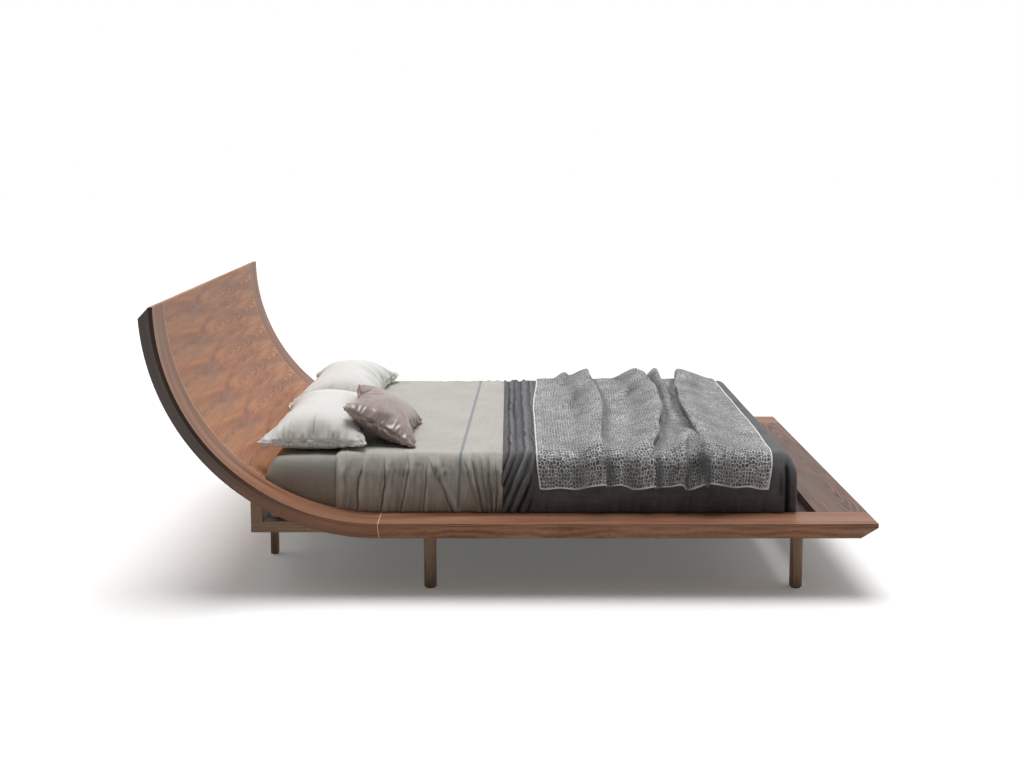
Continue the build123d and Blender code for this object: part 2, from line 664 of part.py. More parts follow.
def roll_section(y, x, height):
    """The section of a roll of the throw, which starts halfway down in the cloth."""
    top = COVER_TOP + SOFT_CLEARANCE + THROW_THICKNESS
    corners = [(x + run * height, y, top + rise * height) for run, rise in ROLL_SECTION]
    sunk = top - THROW_THICKNESS / 2
    ends = [(corners[-1][0], y, sunk), (corners[0][0], y, sunk)]
    return make_face(Polyline(*corners, *ends, close=True))


def roll(stops, start):
    """One loose roll of the throw, from side to side of the bed, lower at its ends."""
    flat = MATTRESS_WIDTH / 2 - MATTRESS_EDGE_RADIUS
    sections = [roll_section(share * flat, start + along * THROW_WIDTH, height) for share, along, height in stops]
    ends = []
    for (share, along, height), way in ((stops[0], -1), (stops[-1], 1)):
        y = share * flat + way * ROLL_END
        ends.append(roll_section(y, start + along * THROW_WIDTH, height * ROLL_END_SHARE))
    return loft([ends[0]] + sections + [ends[1]], ruled=True)


def throw():
    """The throw laid across the dark blanket, with its loose rolls."""
    start = X_MATTRESS_HEAD + COVER_FROM_HEAD + COVER_WIDTH + THROW_FROM_COVER
    inside = 3 * SOFT_CLEARANCE + SHEET_THICKNESS + COVER_THICKNESS
    cloth = layer(inside, inside + THROW_THICKNESS, COVER_TOP - THROW_DROP)
    cloth = between(cloth, start, start + THROW_WIDTH)
    for stops in THROW_ROLLS:
        cloth = cloth + roll(stops, start)
    return cloth


def stuffed_sections(width, thickness):
    """Heights and insets of a stuffed piece: a thin rim, rising faces and a flattened top and bottom."""
    shares = [(STUFFED_RIM / 2, 0.0), (STUFFED_SHOULDER, STUFFED_SHOULDER_INSET), (0.5, STUFFED_TOP_INSET)]
    upper = [(thickness * height, width * inset) for height, inset in shares]
    lower = [(-height, inset) for height, inset in reversed(upper)]
    return lower + upper


def stuffed(width, length, thickness):
    """A stuffed pillow or cushion with rounded corners."""
    sections = []
    for height, inset in stuffed_sections(width, thickness):
        shape = RectangleRounded(width - 2 * inset, length - 2 * inset, width * STUFFED_CORNER)
        sections.append(Pos(0, 0, height) * shape)
    return loft(sections, ruled=True)


def stuffed_outline(width, thickness, tilt):
    """Corners of a stuffed piece seen from the side of the bed, about its middle, tilted foot down."""
    right = [(width / 2 - inset, height) for height, inset in stuffed_sections(width, thickness)]
    left = [(-x, z) for x, z in reversed(right)]
    angle = math.radians(tilt)
    turned = []
    for x, z in right + left:
        turned.append((x * math.cos(angle) + z * math.sin(angle), z * math.cos(angle) - x * math.sin(angle)))
    return turned


def reach_at(corners, height, side):
    """How far an outline reaches at a height, towards the foot (1) or the head (-1)."""
    found = []
    for (x0, z0), (x1, z1) in zip(corners, corners[1:] + corners[:1]):
        if min(z0, z1) <= height <= max(z0, z1) and z0 != z1:
            found.append(x0 + (x1 - x0) * (height - z0) / (z1 - z0))
    return side * max(side * x for x in found)


def pillow_middle():
    """Middle of the left pillow, which rests on the edge of the cover or on the sheet."""
    upright = [(z, x) for x, z in stuffed_outline(PILLOW_WIDTH, PILLOW_THICKNESS, 0)]
    underside = reach_at(upright, max(COVER_FROM_HEAD - PILLOW_HEAD_INSET, 0), -1)
    on_cover = COVER_TOP + SOFT_CLEARANCE - underside
    on_sheet = SHEET_TOP + SOFT_CLEARANCE + PILLOW_THICKNESS / 2
    return (X_MATTRESS_HEAD + PILLOW_HEAD_INSET, PILLOW_SPACING / 2, max(on_cover, on_sheet))


def cushion_middle():
    """Middle of the cushion, which rests on the cover and leans on the right pillow."""
    x_pillow, _, z_pillow = pillow_middle()
    leaning = stuffed_outline(CUSHION_WIDTH, CUSHION_THICKNESS, CUSHION_TILT)
    z = COVER_TOP + SOFT_CLEARANCE - min(height for _, height in leaning)
    lying = [(x, height + z_pillow - z) for x, height in stuffed_outline(PILLOW_WIDTH, PILLOW_THICKNESS, 0)]
    low = max(min(height for _, height in outline) for outline in (leaning, lying))
    high = min(max(height for _, height in outline) for outline in (leaning, lying))
    heights = [height for _, height in leaning + lying if low <= height <= high]
    run = max(reach_at(lying, height, 1) - reach_at(leaning, height, -1) for height in heights)
    return (x_pillow + run + LEAN_CLEARANCE, CUSHION_SIDE_INSET - MATTRESS_WIDTH / 2, z)


def pillow():
    """The left pillow, lying at the head."""
    return Pos(*pillow_middle()) * stuffed(PILLOW_WIDTH, PILLOW_LENGTH, PILLOW_THICKNESS)


def cushion():
    """The cushion leaning on the right pillow."""
    place = Pos(*cushion_middle()) * Rot(0, CUSHION_TILT, 0)
    return place * stuffed(CUSHION_WIDTH, CUSHION_LENGTH, CUSHION_THICKNESS)


def pairs():
    """The pieces that come as a left one and its mirror image."""
    head_leg, foot_leg = leg_places()
    return {
        "side_rail": side_rail(),
        "headboard_stile": headboard_stile(),
        "panel_inlay": panel_inlay(),
        "joint_inlay": joint_inlay(),
        "base_rail": base_rail(),
        "head_post": head_post(),
        "middle_leg": round_leg(head_leg),
        "foot_leg": round_leg(foot_leg),
        "head_leg": square_leg(head_leg_places()[1], BASE_BOTTOM),
        "pillow": pillow(),
    }


def singles():
    """The pieces on the middle line, the groups of small parts and the bedding."""
    first, second = centre_leg_places()
    return {
        "headboard_panel": headboard_panel(),
        "foot_panel": foot_panel(),
        "head_cross_rail": head_cross_rail(),
        "foot_cross_rail": foot_cross_rail(),
        "centre_beam": centre_beam(),
        "centre_leg_1": square_leg(first, BEAM_BOTTOM),
        "centre_leg_2": square_leg(second, BEAM_BOTTOM),
        "left_slat_holders": group([slat_holder(x) for x in slat_places()]),
        "right_slat_holders": group([right_of(slat_holder(x)) for x in slat_places()]),
        "centre_slat_pads": group([slat_pad(x) for x in slat_places()]),
        "leg_glides": glides(),
        "leg_studs": leg_studs(),
        "joint_dowels": joint_dowels(),
        "joint_bolts": joint_bolts(),
        "joint_barrels": joint_barrels(),
        "foot_dowels": foot_dowels(),
        "base_dowels": base_dowels(),
        "base_screws": base_screws(),
        "post_bolts": post_bolts(),
        "mattress": mattress(),
        "fitted_sheet": fitted_sheet(),
        "light_cover": light_cover(),
        "dark_blanket": dark_blanket(),
        "throw": throw(),
        "cushion": cushion(),
    }


def slats():
    """The slats, numbered from head to foot."""
    return {f"slat_{index:02d}": slat(x) for index, x in enumerate(slat_places(), start=1)}


def bed():
    """Every piece of the bed under its own name."""
    pieces = {}
    for name, piece in pairs().items():
        pieces[f"left_{name}"] = piece
        pieces[f"right_{name}"] = right_of(piece)
    pieces.update(singles())
    pieces.update(slats())
    return pieces


os.makedirs("parts", exist_ok=True)
for name, piece in bed().items():
    export_step(piece, f"parts/{name}.step")
    size = piece.bounding_box().size
    print(f"{name}: {size.X:.1f} x {size.Y:.1f} x {size.Z:.1f} mm")
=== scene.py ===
# %% [markdown]
# # A sleigh bed with its bedding
# The bed is a low walnut platform whose rails sweep up into a curved headboard.
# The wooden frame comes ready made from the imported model, in metres, standing on the floor with its head towards -X.
# This lesson gives the wood its grain, then makes the soft things: mattress, sheet, covers, throw, pillows and cushion.

# %% Load the frame
import math

import bmesh
import bpy
from mathutils import Matrix, Vector, noise
from mathutils.bvhtree import BVHTree


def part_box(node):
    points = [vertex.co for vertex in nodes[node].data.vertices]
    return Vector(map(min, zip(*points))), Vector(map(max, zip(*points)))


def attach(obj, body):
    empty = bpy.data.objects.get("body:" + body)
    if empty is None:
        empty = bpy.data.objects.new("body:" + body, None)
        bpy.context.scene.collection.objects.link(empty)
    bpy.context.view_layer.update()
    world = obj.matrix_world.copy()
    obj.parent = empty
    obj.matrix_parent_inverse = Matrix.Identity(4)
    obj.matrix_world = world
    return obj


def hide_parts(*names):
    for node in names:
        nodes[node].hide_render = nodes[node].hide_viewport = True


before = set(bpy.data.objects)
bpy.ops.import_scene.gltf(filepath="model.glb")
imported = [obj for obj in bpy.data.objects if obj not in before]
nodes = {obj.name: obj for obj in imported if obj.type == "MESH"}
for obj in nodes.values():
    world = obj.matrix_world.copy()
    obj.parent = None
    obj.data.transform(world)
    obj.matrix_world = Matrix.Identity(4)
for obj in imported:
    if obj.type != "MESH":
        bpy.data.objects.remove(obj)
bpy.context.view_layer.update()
scene = bpy.context.scene
scene.view_settings.view_transform = "Standard"

# %% [markdown]
# ## Camera
# The photograph looks at the right side of the bed from a little above, with a lens slightly longer than normal.
# A camera pitched down makes upright edges lean, so part of the framing is done with a small lens shift instead.

# %% Camera
CAMERA_PLACE = (0.0015, -5.6384, 1.6545)
CAMERA_PITCH = 0.1145  # radians below level
bpy.ops.object.camera_add(location=CAMERA_PLACE, rotation=(math.pi / 2 - CAMERA_PITCH, 0, 0))
camera = bpy.context.object
camera.name = "camera"
camera.data.sensor_fit = "HORIZONTAL"
camera.data.sensor_width = 36
camera.data.lens = 45.88
camera.data.shift_y = -0.08
scene.camera = camera
print("camera:", round(camera.data.lens, 2), "mm lens at", CAMERA_PLACE)

# %% [markdown]
# ## Small helpers for materials
# A shader works with linear light, while colours are picked on a screen, so one function turns a hex colour into linear
# values. A second one adds a node, sets its options and sockets, and links what is given as another node's socket.
# Two more open a finish with its plain numbers and close it by linking what varies over the surface.

# %% Material helpers
def linear(code):
    """An sRGB hex colour as linear red, green, blue and alpha."""
    parts = [int(code[start:start + 2], 16) / 255 for start in (1, 3, 5)]
    return [part / 12.92 if part <= 0.04045 else ((part + 0.055) / 1.055) ** 2.4 for part in parts] + [1.0]


def add(tree, kind, inputs=None, stops=(), **settings):
    """One node with its settings, its sockets set or linked, and a ramp's stops. Gives the first output in use."""
    node = tree.nodes.new("ShaderNode" + kind)
    for name, value in settings.items():
        setattr(node, name, value)
    for name, value in (inputs or {}).items():
        if isinstance(value, bpy.types.NodeSocket):
            tree.links.new(value, node.inputs[name])
        else:
            node.inputs[name].default_value = value
    for index, (place, colour) in enumerate(stops):
        stop = node.color_ramp.elements[index] if index < 2 else node.color_ramp.elements.new(place)
        stop.position = place
        stop.color = linear(colour)
    return next(output for output in node.outputs if output.enabled)


def new_finish(name, **constants):
    """A material with its shader, whose plain sockets are set at once."""
    material = bpy.data.materials.new(name)
    material.use_nodes = True
    shader = material.node_tree.nodes["Principled BSDF"]
    for socket, value in constants.items():
        shader.inputs[socket.replace("_", " ")].default_value = value
    return material, material.node_tree, shader


def close_finish(tree, shader, colour, rough, bump):
    """Links a finish's colour, roughness and relief to its shader."""
    for socket, value in (("Base Color", colour), ("Roughness", rough), ("Normal", bump)):
        tree.links.new(value, shader.inputs[socket])


# %% [markdown]
# ## Floor and light
# The bed stands in a white studio, lit from above and a little behind, so its tops are bright and its near side shaded.
# One large soft sun stands for the overhead light. The world is an arch of soft lamps from the left over the top to the
# right, dark towards the camera, so it lights the headboard and grazes the near side, where it draws the folds.
# The camera and mirror-like surfaces see the floor and the world as plain white, but they send less light back.

# %% Floor and light
def seen_directly(tree):
    """1 for a ray from the camera, a reflection or a see-through surface, and 0 for light on its way."""
    ray = add(tree, "LightPath").node.outputs
    seen = add(tree, "Math", {0: ray["Is Camera Ray"], 1: ray["Is Glossy Ray"]}, operation="MAXIMUM")
    return add(tree, "Math", {0: seen, 1: ray["Is Transmission Ray"]}, operation="MAXIMUM")


bpy.ops.object.select_all(action="DESELECT")
bpy.ops.mesh.primitive_circle_add(vertices=96, radius=40, fill_type="NGON")
floor = bpy.context.object
floor.name = "studio_floor"
# white studio paper: quite matt, so it shows only the bed's soft shadow
paper, tree, shader = new_finish("white studio paper", Roughness=1.0, Specular_IOR_Level=0.0,
                                 Emission_Color=linear("#fffff8"))
seen = seen_directly(tree)
tone = add(tree, "Mix", {0: seen, 6: linear("#d2d1cd"), 7: linear("#fdfdfd")}, data_type="RGBA")
tree.links.new(tone, shader.inputs["Base Color"])
# a faint glow keeps the middle of the shadow grey, as in the photograph
glow = add(tree, "Math", {0: seen, 1: 0.1}, operation="MULTIPLY")
tree.links.new(glow, shader.inputs["Emission Strength"])
floor.data.materials.append(paper)

FILL_FRONT, FILL_ARCH = 0.02, 0.76  # the world's strength from the camera's side, and over the arch
world = bpy.data.worlds.new("studio")
world.use_nodes = True
scene.world = world
tree = world.node_tree
towards = add(tree, "SeparateXYZ", {0: add(tree, "TexCoord").node.outputs["Generated"]}).node.outputs
fill = add(tree, "MapRange", {"Value": towards["Y"], "From Min": -0.5, "From Max": 0.1,
                              "To Min": FILL_FRONT, "To Max": FILL_ARCH}, interpolation_type="SMOOTHSTEP")
level = add(tree, "Mix", {0: seen_directly(tree), 2: fill, 3: 1.0})
sky = tree.nodes["Background"]
sky.inputs["Color"].default_value = linear("#ffffff")
tree.links.new(level, sky.inputs["Strength"])

bpy.ops.object.light_add(type="SUN", rotation=(math.radians(-9), 0, 0))
sun = bpy.context.object
sun.name = "overhead_light"
sun.data.energy = 1.95
sun.data.angle = math.radians(34)
print("light: sun", round(sun.data.energy, 2), "fill", FILL_FRONT, "to", FILL_ARCH)

# %% [markdown]
# ## Walnut
# Walnut is a brown open-grained timber: growth lines along the board, broad bands of colour, fine fibres, short pores.
# Every piece is cut with the grain along its length, so each finish first works out two distances, along and across it.
# The stiles and the headboard panel are bent, and there the grain has to follow the bend.
# So their coordinates are first unrolled: distance along the arc, width, and distance from the bend's axis.
# A veneer is sliced into leaves that are laid side by side, so its pattern starts again with every leaf.
# Near the middle of a leaf the growth lines close into long pointed arches, like the rings of a trunk cut at a slant.

# %% Walnut
CURVE_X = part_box("left_joint_inlay")[0].x  # the bend starts where the rail ends
CURVE_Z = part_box("left_headboard_stile")[1].z  # the bend's axis is level with the headboard's top
CURVE_RADIUS = CURVE_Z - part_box("left_side_rail")[1].z


def unrolled(tree, place):
    """Coordinates laid flat along the sleigh curve: arc length, width and depth."""
    part = add(tree, "SeparateXYZ", {0: place}).node.outputs
    run = add(tree, "Math", {0: CURVE_X, 1: part["X"]}, operation="SUBTRACT")
    fall = add(tree, "Math", {0: CURVE_Z, 1: part["Z"]}, operation="SUBTRACT")
    turn = add(tree, "Math", {0: run, 1: fall}, operation="ARCTAN2")
    arc = add(tree, "Math", {0: turn, 1: CURVE_RADIUS}, operation="MULTIPLY")
    spoke = add(tree, "CombineXYZ", {"X": run, "Y": fall})
    depth = add(tree, "VectorMath", {0: spoke}, operation="LENGTH")
    return add(tree, "CombineXYZ", {"X": arc, "Y": part["Y"], "Z": depth})


WAVE_PERIOD = 0.314  # a wave texture of scale 1 repeats after this many metres


def wood(name, tones, grain="X", bent=False, ring=0.007, sway=0.02, leaf=0.0, eye=0.0, figure=0.5, grey=0.3,
         pores=0.5, gloss=0.42, edge=0.0):
    """A timber finish. Its tones are dark, middle, light, grey and the pores' own, and its sizes are in metres.
    Eye is where along the grain a leaf's arches close. Figure, grey and pores say how strongly each shows, and edge how
    strongly painted shade darkens the sides."""
    material, tree, shader = new_finish(name, Specular_IOR_Level=0.2)
    place = add(tree, "TexCoord").node.outputs["Object"]
    part = add(tree, "SeparateXYZ", {0: unrolled(tree, place) if bent else place}).node.outputs
    wide, deep = [axis for axis in "XYZ" if axis != grain]
    across = add(tree, "Math", {0: part[deep], 1: 0.7, 2: part[wide]}, operation="MULTIPLY_ADD")
    if leaf:
        across = add(tree, "Math", {0: across, 1: leaf}, operation="FLOORED_MODULO")
    flat = add(tree, "CombineXYZ", {"X": part[grain], "Y": across})

    def cells(length, width, **more):
        """Noise in cells of one length along the grain and one width across it."""
        size = add(tree, "Mapping", {"Vector": flat, "Scale": (1 / length, 1 / width, 1)})
        return add(tree, "TexNoise", {"Vector": size, "Scale": 1.0, **more})

    if leaf:
        run = add(tree, "Math", {0: part[grain], 1: eye}, operation="SUBTRACT")
        run = add(tree, "Math", {0: run, 1: 0.05}, operation="MULTIPLY")  # arches twenty times as long as wide
        rise = add(tree, "Math", {0: across, 1: leaf / 2}, operation="SUBTRACT")
        arch = add(tree, "CombineXYZ", {"X": run, "Y": rise})
        across = add(tree, "VectorMath", {0: arch}, operation="LENGTH")
    # growth lines, one ring wide, that sway in long waves and tremble in short ones
    across = add(tree, "Math", {0: cells(0.4, 0.07, Detail=2.0), 1: 2 * sway, 2: across}, operation="MULTIPLY_ADD")
    across = add(tree, "Math", {0: cells(0.1, 0.02), 1: 0.8 * ring, 2: across}, operation="MULTIPLY_ADD")
    line = add(tree, "CombineXYZ", {"Y": across})
    rings = add(tree, "TexWave", {"Vector": line, "Scale": WAVE_PERIOD / ring}, bands_direction="Y").node.outputs["Fac"]
    # broad colour from heartwood to paler wood, 45 mm wide and 600 mm long, or in a veneer shorter flames that curl
    broad = cells(0.4, 0.045, Detail=4.0, Distortion=0.8) if leaf else cells(0.6, 0.045, Detail=3.0, Distortion=0.4)
    # fibres, drawn 3 mm wide because the real ones are too fine to show
    fibre = cells(0.12, 0.003, Detail=4.0, Roughness=0.65)
    # pores, short dark strokes 18 mm long and 1.2 mm wide
    pore = cells(0.018, 0.0012, Detail=1.0)
    strong = add(tree, "Math", {0: cells(0.5, 0.05), 1: figure}, operation="MULTIPLY")
    tone = add(tree, "Mix", {0: strong, 2: broad, 3: rings})
    tone = add(tree, "Mix", {0: 0.3, 2: tone, 3: fibre})
    dark, middle, light, dusty, pore_tone = tones
    colour = add(tree, "ValToRGB", {"Fac": tone}, stops=[(0.3, dark), (0.68, light), (0.48, middle)])
    dull = add(tree, "MapRange", {"Value": cells(0.45, 0.09), "From Min": 0.45, "From Max": 0.7, "To Max": grey})
    colour = add(tree, "Mix", {0: dull, 6: colour, 7: linear(dusty)}, data_type="RGBA")
    stroke = add(tree, "MapRange", {"Value": pore, "From Min": 0.58, "From Max": 0.72, "To Max": pores})
    colour = add(tree, "Mix", {0: stroke, 6: colour, 7: linear(pore_tone)}, data_type="RGBA")
    if edge:  # painted shade: the sides that face along Y are darkened, more so higher up
        aside = add(tree, "SeparateXYZ", {0: add(tree, "TexCoord").node.outputs["Normal"]}).node.outputs["Y"]
        aside = add(tree, "Math", {0: aside}, operation="ABSOLUTE")
        aside = add(tree, "Math", {0: aside, 1: 0.6}, operation="GREATER_THAN")
        higher = add(tree, "MapRange", {"Value": part[grain], "From Min": 0.2, "From Max": 0.7, "To Max": edge})
        aside = add(tree, "Math", {0: aside, 1: higher}, operation="MULTIPLY")
        colour = add(tree, "Mix", {0: aside, 6: colour, 7: linear("#150d08")}, data_type="RGBA")
    rough = add(tree, "MapRange", {"Value": fibre, "From Min": 0.3, "From Max": 0.7,
                                   "To Min": gloss - 0.06, "To Max": gloss + 0.1})
    relief = add(tree, "Mix", {0: 0.5, 2: fibre, 3: pore})
    bump = add(tree, "Bump", {"Height": relief, "Strength": 0.12, "Distance": 0.0008})
    close_finish(tree, shader, colour, rough, bump)
    return material


RAIL_TONES = ("#5e3c2b", "#94664d", "#b7886d", "#8a7264", "#3c271c")
PANEL_TONES = ("#74452e", "#ad7352", "#d99c66", "#8d6f63", "#5f3a29")
FOOT_TONES = ("#402b23", "#654b40", "#8d6859", "#685b57", "#2e1f19")
CROSS_TONES = ("#2f2520", "#40342d", "#52443b", "#463c36", "#201813")
BASE_TONES = ("#72594a", "#9a7d68", "#b59a83", "#8f7f72", "#503c30")
BIRCH_TONES = ("#26221f", "#36312d", "#453f3a", "#3a3633", "#1b1816")
MAPLE_TONES = ("#cfae78", "#e0c592", "#ecd9b0", "#dcc8a0", "#b8955e")
BEECH_TONES = ("#b98d62", "#cfa67c", "#ddba94", "#c4a37f", "#94683f")
finishes = {
    # solid walnut rails: straight quiet grain under a thin oil, so a low soft gloss along each edge
    "walnut_rail": wood("oiled walnut, straight grain", RAIL_TONES, sway=0.012, figure=0.4),
    # laminated walnut: the same quiet grain, following the bend, which tells the eye that the wood is bent and not
    # sawn; its sides take painted shade
    "walnut_stile": wood("oiled walnut, bent lamination", RAIL_TONES, bent=True, sway=0.012, figure=0.4, edge=0.9),
    # figured veneer: leaves 130 mm wide with warm arched figure and grey streaks, the bed's showpiece
    "walnut_panel": wood("figured walnut veneer, bent", PANEL_TONES, grain="Y", bent=True, ring=0.006, sway=0.008,
                         leaf=0.13, eye=-0.25, figure=0.35, grey=0.6, gloss=0.45),
    # the foot's veneer: one leaf, darker and greyer because it is seen flat under the light
    "walnut_foot": wood("figured walnut veneer", FOOT_TONES, grain="Y", ring=0.010, sway=0.014,
                        leaf=0.2, eye=-0.1, figure=0.6, grey=0.7, gloss=0.45),
    # plain walnut for the base and legs: cooler and duller, as it is left unoiled
    "walnut_x": wood("solid walnut, along the bed", BASE_TONES, grain="X", sway=0.01, figure=0.4),
    # the cross rails get nearly black tones, so the foot cross rail stays dark in the gap at the foot
    "walnut_y": wood("dark walnut, across the bed", CROSS_TONES, grain="Y", sway=0.01, figure=0.4),
    "walnut_z": wood("solid walnut, upright", BASE_TONES, grain="Z", sway=0.01, figure=0.4),
    # birch plywood in nearly black tones, smooth and almost without pores, so the slats stay in the dark of the gap at
    # the foot
    "birch": wood("nearly black birch plywood", BIRCH_TONES, grain="Y", ring=0.02, pores=0.15, gloss=0.45),
    # maple strips: a thin pale line that draws the joints
    "inlay": wood("maple inlay", MAPLE_TONES, grain="X", pores=0.1, gloss=0.4),
    # beech dowels: pale pink-brown with short flecks, seen only when the bed is taken apart
    "beech": wood("beech dowel", BEECH_TONES, grain="X", ring=0.01, pores=0.3, gloss=0.6),
}
print("walnut:", len(finishes), "timber finishes, bend radius", round(CURVE_RADIUS, 3))

# %% [markdown]
# ## Nylon, rubber and steel
# The slats sit in black moulded nylon holders and on rubber pads, the legs stand on nylon glides,
# and zinc plated bolts pull the joints together.
# Each is one material with a little mottling, so that it does not look like flat paint.

# %% Small hardware finishes
def moulded(name, dark, light, cell, metallic=0.0, rough=0.5):
    """A finish with soft mottling of one cell's size in metres."""
    material, tree, shader = new_finish(name, Metallic=metallic)
    place = add(tree, "TexCoord").node.outputs["Object"]
    mottle = add(tree, "TexNoise", {"Vector": place, "Scale": 1 / cell, "Detail": 3.0})
    colour = add(tree, "ValToRGB", {"Fac": mottle}, stops=[(0.3, dark), (0.7, light)])
    grain = add(tree, "MapRange", {"Value": mottle, "To Min": rough - 0.1, "To Max": rough + 0.1})
    bump = add(tree, "Bump", {"Height": mottle, "Strength": 0.1, "Distance": 0.0004})
    close_finish(tree, shader, colour, grain, bump)
    return material


# glass-filled nylon: black with a fine grain from the mould and a dull shine
finishes["black_nylon"] = moulded("black moulded nylon", "#17181a", "#26272a", 0.004, rough=0.5)
# rubber: dark grey and quite matt
finishes["rubber"] = moulded("grey rubber pad", "#3a3b3c", "#4b4c4d", 0.003, rough=0.8)
# nylon glides: brown, so that they vanish under the legs
finishes["glide"] = moulded("brown nylon glide", "#2a211a", "#3a2e25", 0.003, rough=0.6)
# zinc plate: a cool bright metal with cloudy patches
finishes["zinc"] = moulded("zinc plated steel", "#a9adb0", "#c6c9cb", 0.006, metallic=1.0, rough=0.35)

# %% [markdown]
# ## Dress the wooden frame
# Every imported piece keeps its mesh, and only its material slot changes.
# The table below goes from each finish to the pieces whose grain runs its way.

# %% Finishes on the frame
dressing = {
    "walnut_rail": ["left_side_rail", "right_side_rail"],
    "walnut_stile": ["left_headboard_stile", "right_headboard_stile"],
    "walnut_panel": ["headboard_panel"],
    "walnut_foot": ["foot_panel"],
    "inlay": ["left_panel_inlay", "right_panel_inlay", "left_joint_inlay", "right_joint_inlay"],
    "walnut_x": ["left_base_rail", "right_base_rail", "centre_beam"],
    "walnut_y": ["head_cross_rail", "foot_cross_rail"],
    "walnut_z": ["left_head_post", "right_head_post", "left_middle_leg", "right_middle_leg", "left_foot_leg",
                 "right_foot_leg", "left_head_leg", "right_head_leg", "centre_leg_1", "centre_leg_2"],
    "birch": [name for name in nodes if name.startswith("slat_")],
    "beech": ["joint_dowels", "foot_dowels", "base_dowels"],
    "black_nylon": ["left_slat_holders", "right_slat_holders"],
    "rubber": ["centre_slat_pads"],
    "glide": ["leg_glides"],
    "zinc": ["leg_studs", "joint_bolts", "joint_barrels", "base_screws", "post_bolts"],
}
for finish, names in dressing.items():
    for name in names:
        nodes[name].data.materials.clear()
        nodes[name].data.materials.append(finishes[finish])
print("dressed:", sum(len(names) for names in dressing.values()), "wooden and metal pieces")

# %% [markdown]
# ## Hand tools for soft pieces
# Bedding starts from simple shapes: a block in small even faces, or a flat grid.
# These helpers round a block, cut it with a plane, push its points about, and hand a finished piece over to the frame.

# %% Hand tools
def only(piece):
    """Makes one piece the selected and active one."""
    bpy.ops.object.select_all(action="DESELECT")
    piece.select_set(True)
    bpy.context.view_layer.objects.active = piece
    return piece


def modify(piece, kind, **settings):
    """Adds one modifier, sets it and applies it."""
    only(piece)
    bpy.ops.object.modifier_add(type=kind)
    modifier = piece.modifiers[-1]
    for name, value in settings.items():
        setattr(modifier, name, value)
    bpy.ops.object.modifier_apply(modifier=modifier.name)


def soft_block(name, low, high, radii, voxel, round_below=False):
    """A block in small even faces, with its own rounding along X, Y and Z."""
    bpy.ops.object.select_all(action="DESELECT")
    bpy.ops.mesh.primitive_cube_add(size=1, location=(low + high) / 2, scale=high - low)
    piece = bpy.context.object
    piece.name = name
    bpy.ops.object.transform_apply(location=True, rotation=True, scale=True)
    piece.data.remesh_voxel_size = voxel
    bpy.ops.object.voxel_remesh()
    inner_low, inner_high = low + radii, high - radii
    if not round_below:
        inner_low.z = low.z - 1
    for point in piece.data.vertices:
        core = Vector([min(max(point.co[axis], inner_low[axis]), inner_high[axis]) for axis in range(3)])
        spread = Vector([(point.co[axis] - core[axis]) / radii[axis] for axis in range(3)])
        if spread.length > 0.5:
            spread.normalize()
            point.co = core + spread * radii
    return piece


def trim(piece, point, beyond):
    """Cuts away what lies beyond a plane."""
    only(piece)
    bpy.ops.object.mode_set(mode="EDIT")
    bpy.ops.mesh.select_all(action="SELECT")
    bpy.ops.mesh.bisect(plane_co=point, plane_no=beyond, clear_outer=True)
    bpy.ops.object.mode_set(mode="OBJECT")


def push(piece, amount):
    """Moves every point along its normal by an amount worked out from its place."""
    moves = [point.normal * amount(point.co) for point in piece.data.vertices]
    for point, move in zip(piece.data.vertices, moves):
        point.co += move


def fade(value, start, end):
    """From 0 to 1, smoothly, between two values."""
    share = min(1.0, max(0.0, (value - start) / (end - start)))
    return share * share * (3 - 2 * share)


def bell(gap, width):
    """1 at no gap, and soon gone beyond one width on either side."""
    return math.exp(-((gap / width) ** 2))


def fold_noise(place, along, across, seed):
    """Smooth noise from -1 to 1 whose cells are this long and wide, in metres."""
    return noise.noise(Vector((place[0] / along + seed, place[1] / across, seed * 1.7)))


def pleat(value, width, seed, wander):
    """A row of sharp ridges from 0 to 1, about one width apart."""
    return (1 - abs(noise.noise(Vector((value / width, wander, seed))))) ** 4


def mark_crease_shade(piece, depth=0.0008):
    """Notes on every point how far it lies below its neighbours, as a share of a depth, for a finish to darken as
    painted shade.
    """
    points, pairs = piece.data.vertices, [tuple(edge.vertices) for edge in piece.data.edges]
    rest, count = [Vector() for point in points], [0] * len(points)
    for a, b in pairs:
        rest[a] += points[b].co
        rest[b] += points[a].co
        count[a] += 1
        count[b] += 1
    sunk = [max(0.0, (total / many - point.co).dot(point.normal) / depth)
            for point, total, many in zip(points, rest, count)]
    for repeat in range(2):  # spread over the neighbours
        spread = [0.0] * len(points)
        for a, b in pairs:
            spread[a] += sunk[b] / count[a]
            spread[b] += sunk[a] / count[b]
        sunk = [(own + near) / 2 for own, near in zip(sunk, spread)]
    layer = piece.data.attributes.new("painted_crease_shade", "FLOAT", "POINT")
    layer.data.foreach_set("value", [min(1.0, value) for value in sunk])


def finish_piece(piece, material, body, stands_for):
    """Gives a finished piece its material, its body and the node it stands for."""
    only(piece)
    piece.data.materials.clear()
    piece.data.materials.append(material)
    bpy.ops.object.shade_smooth()
    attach(piece, body)
    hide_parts(stands_for)


BED_LOW, BED_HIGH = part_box("mattress")
print("mattress to dress:", [round(side, 3) for side in BED_LOW], "to", [round(side, 3) for side in BED_HIGH])
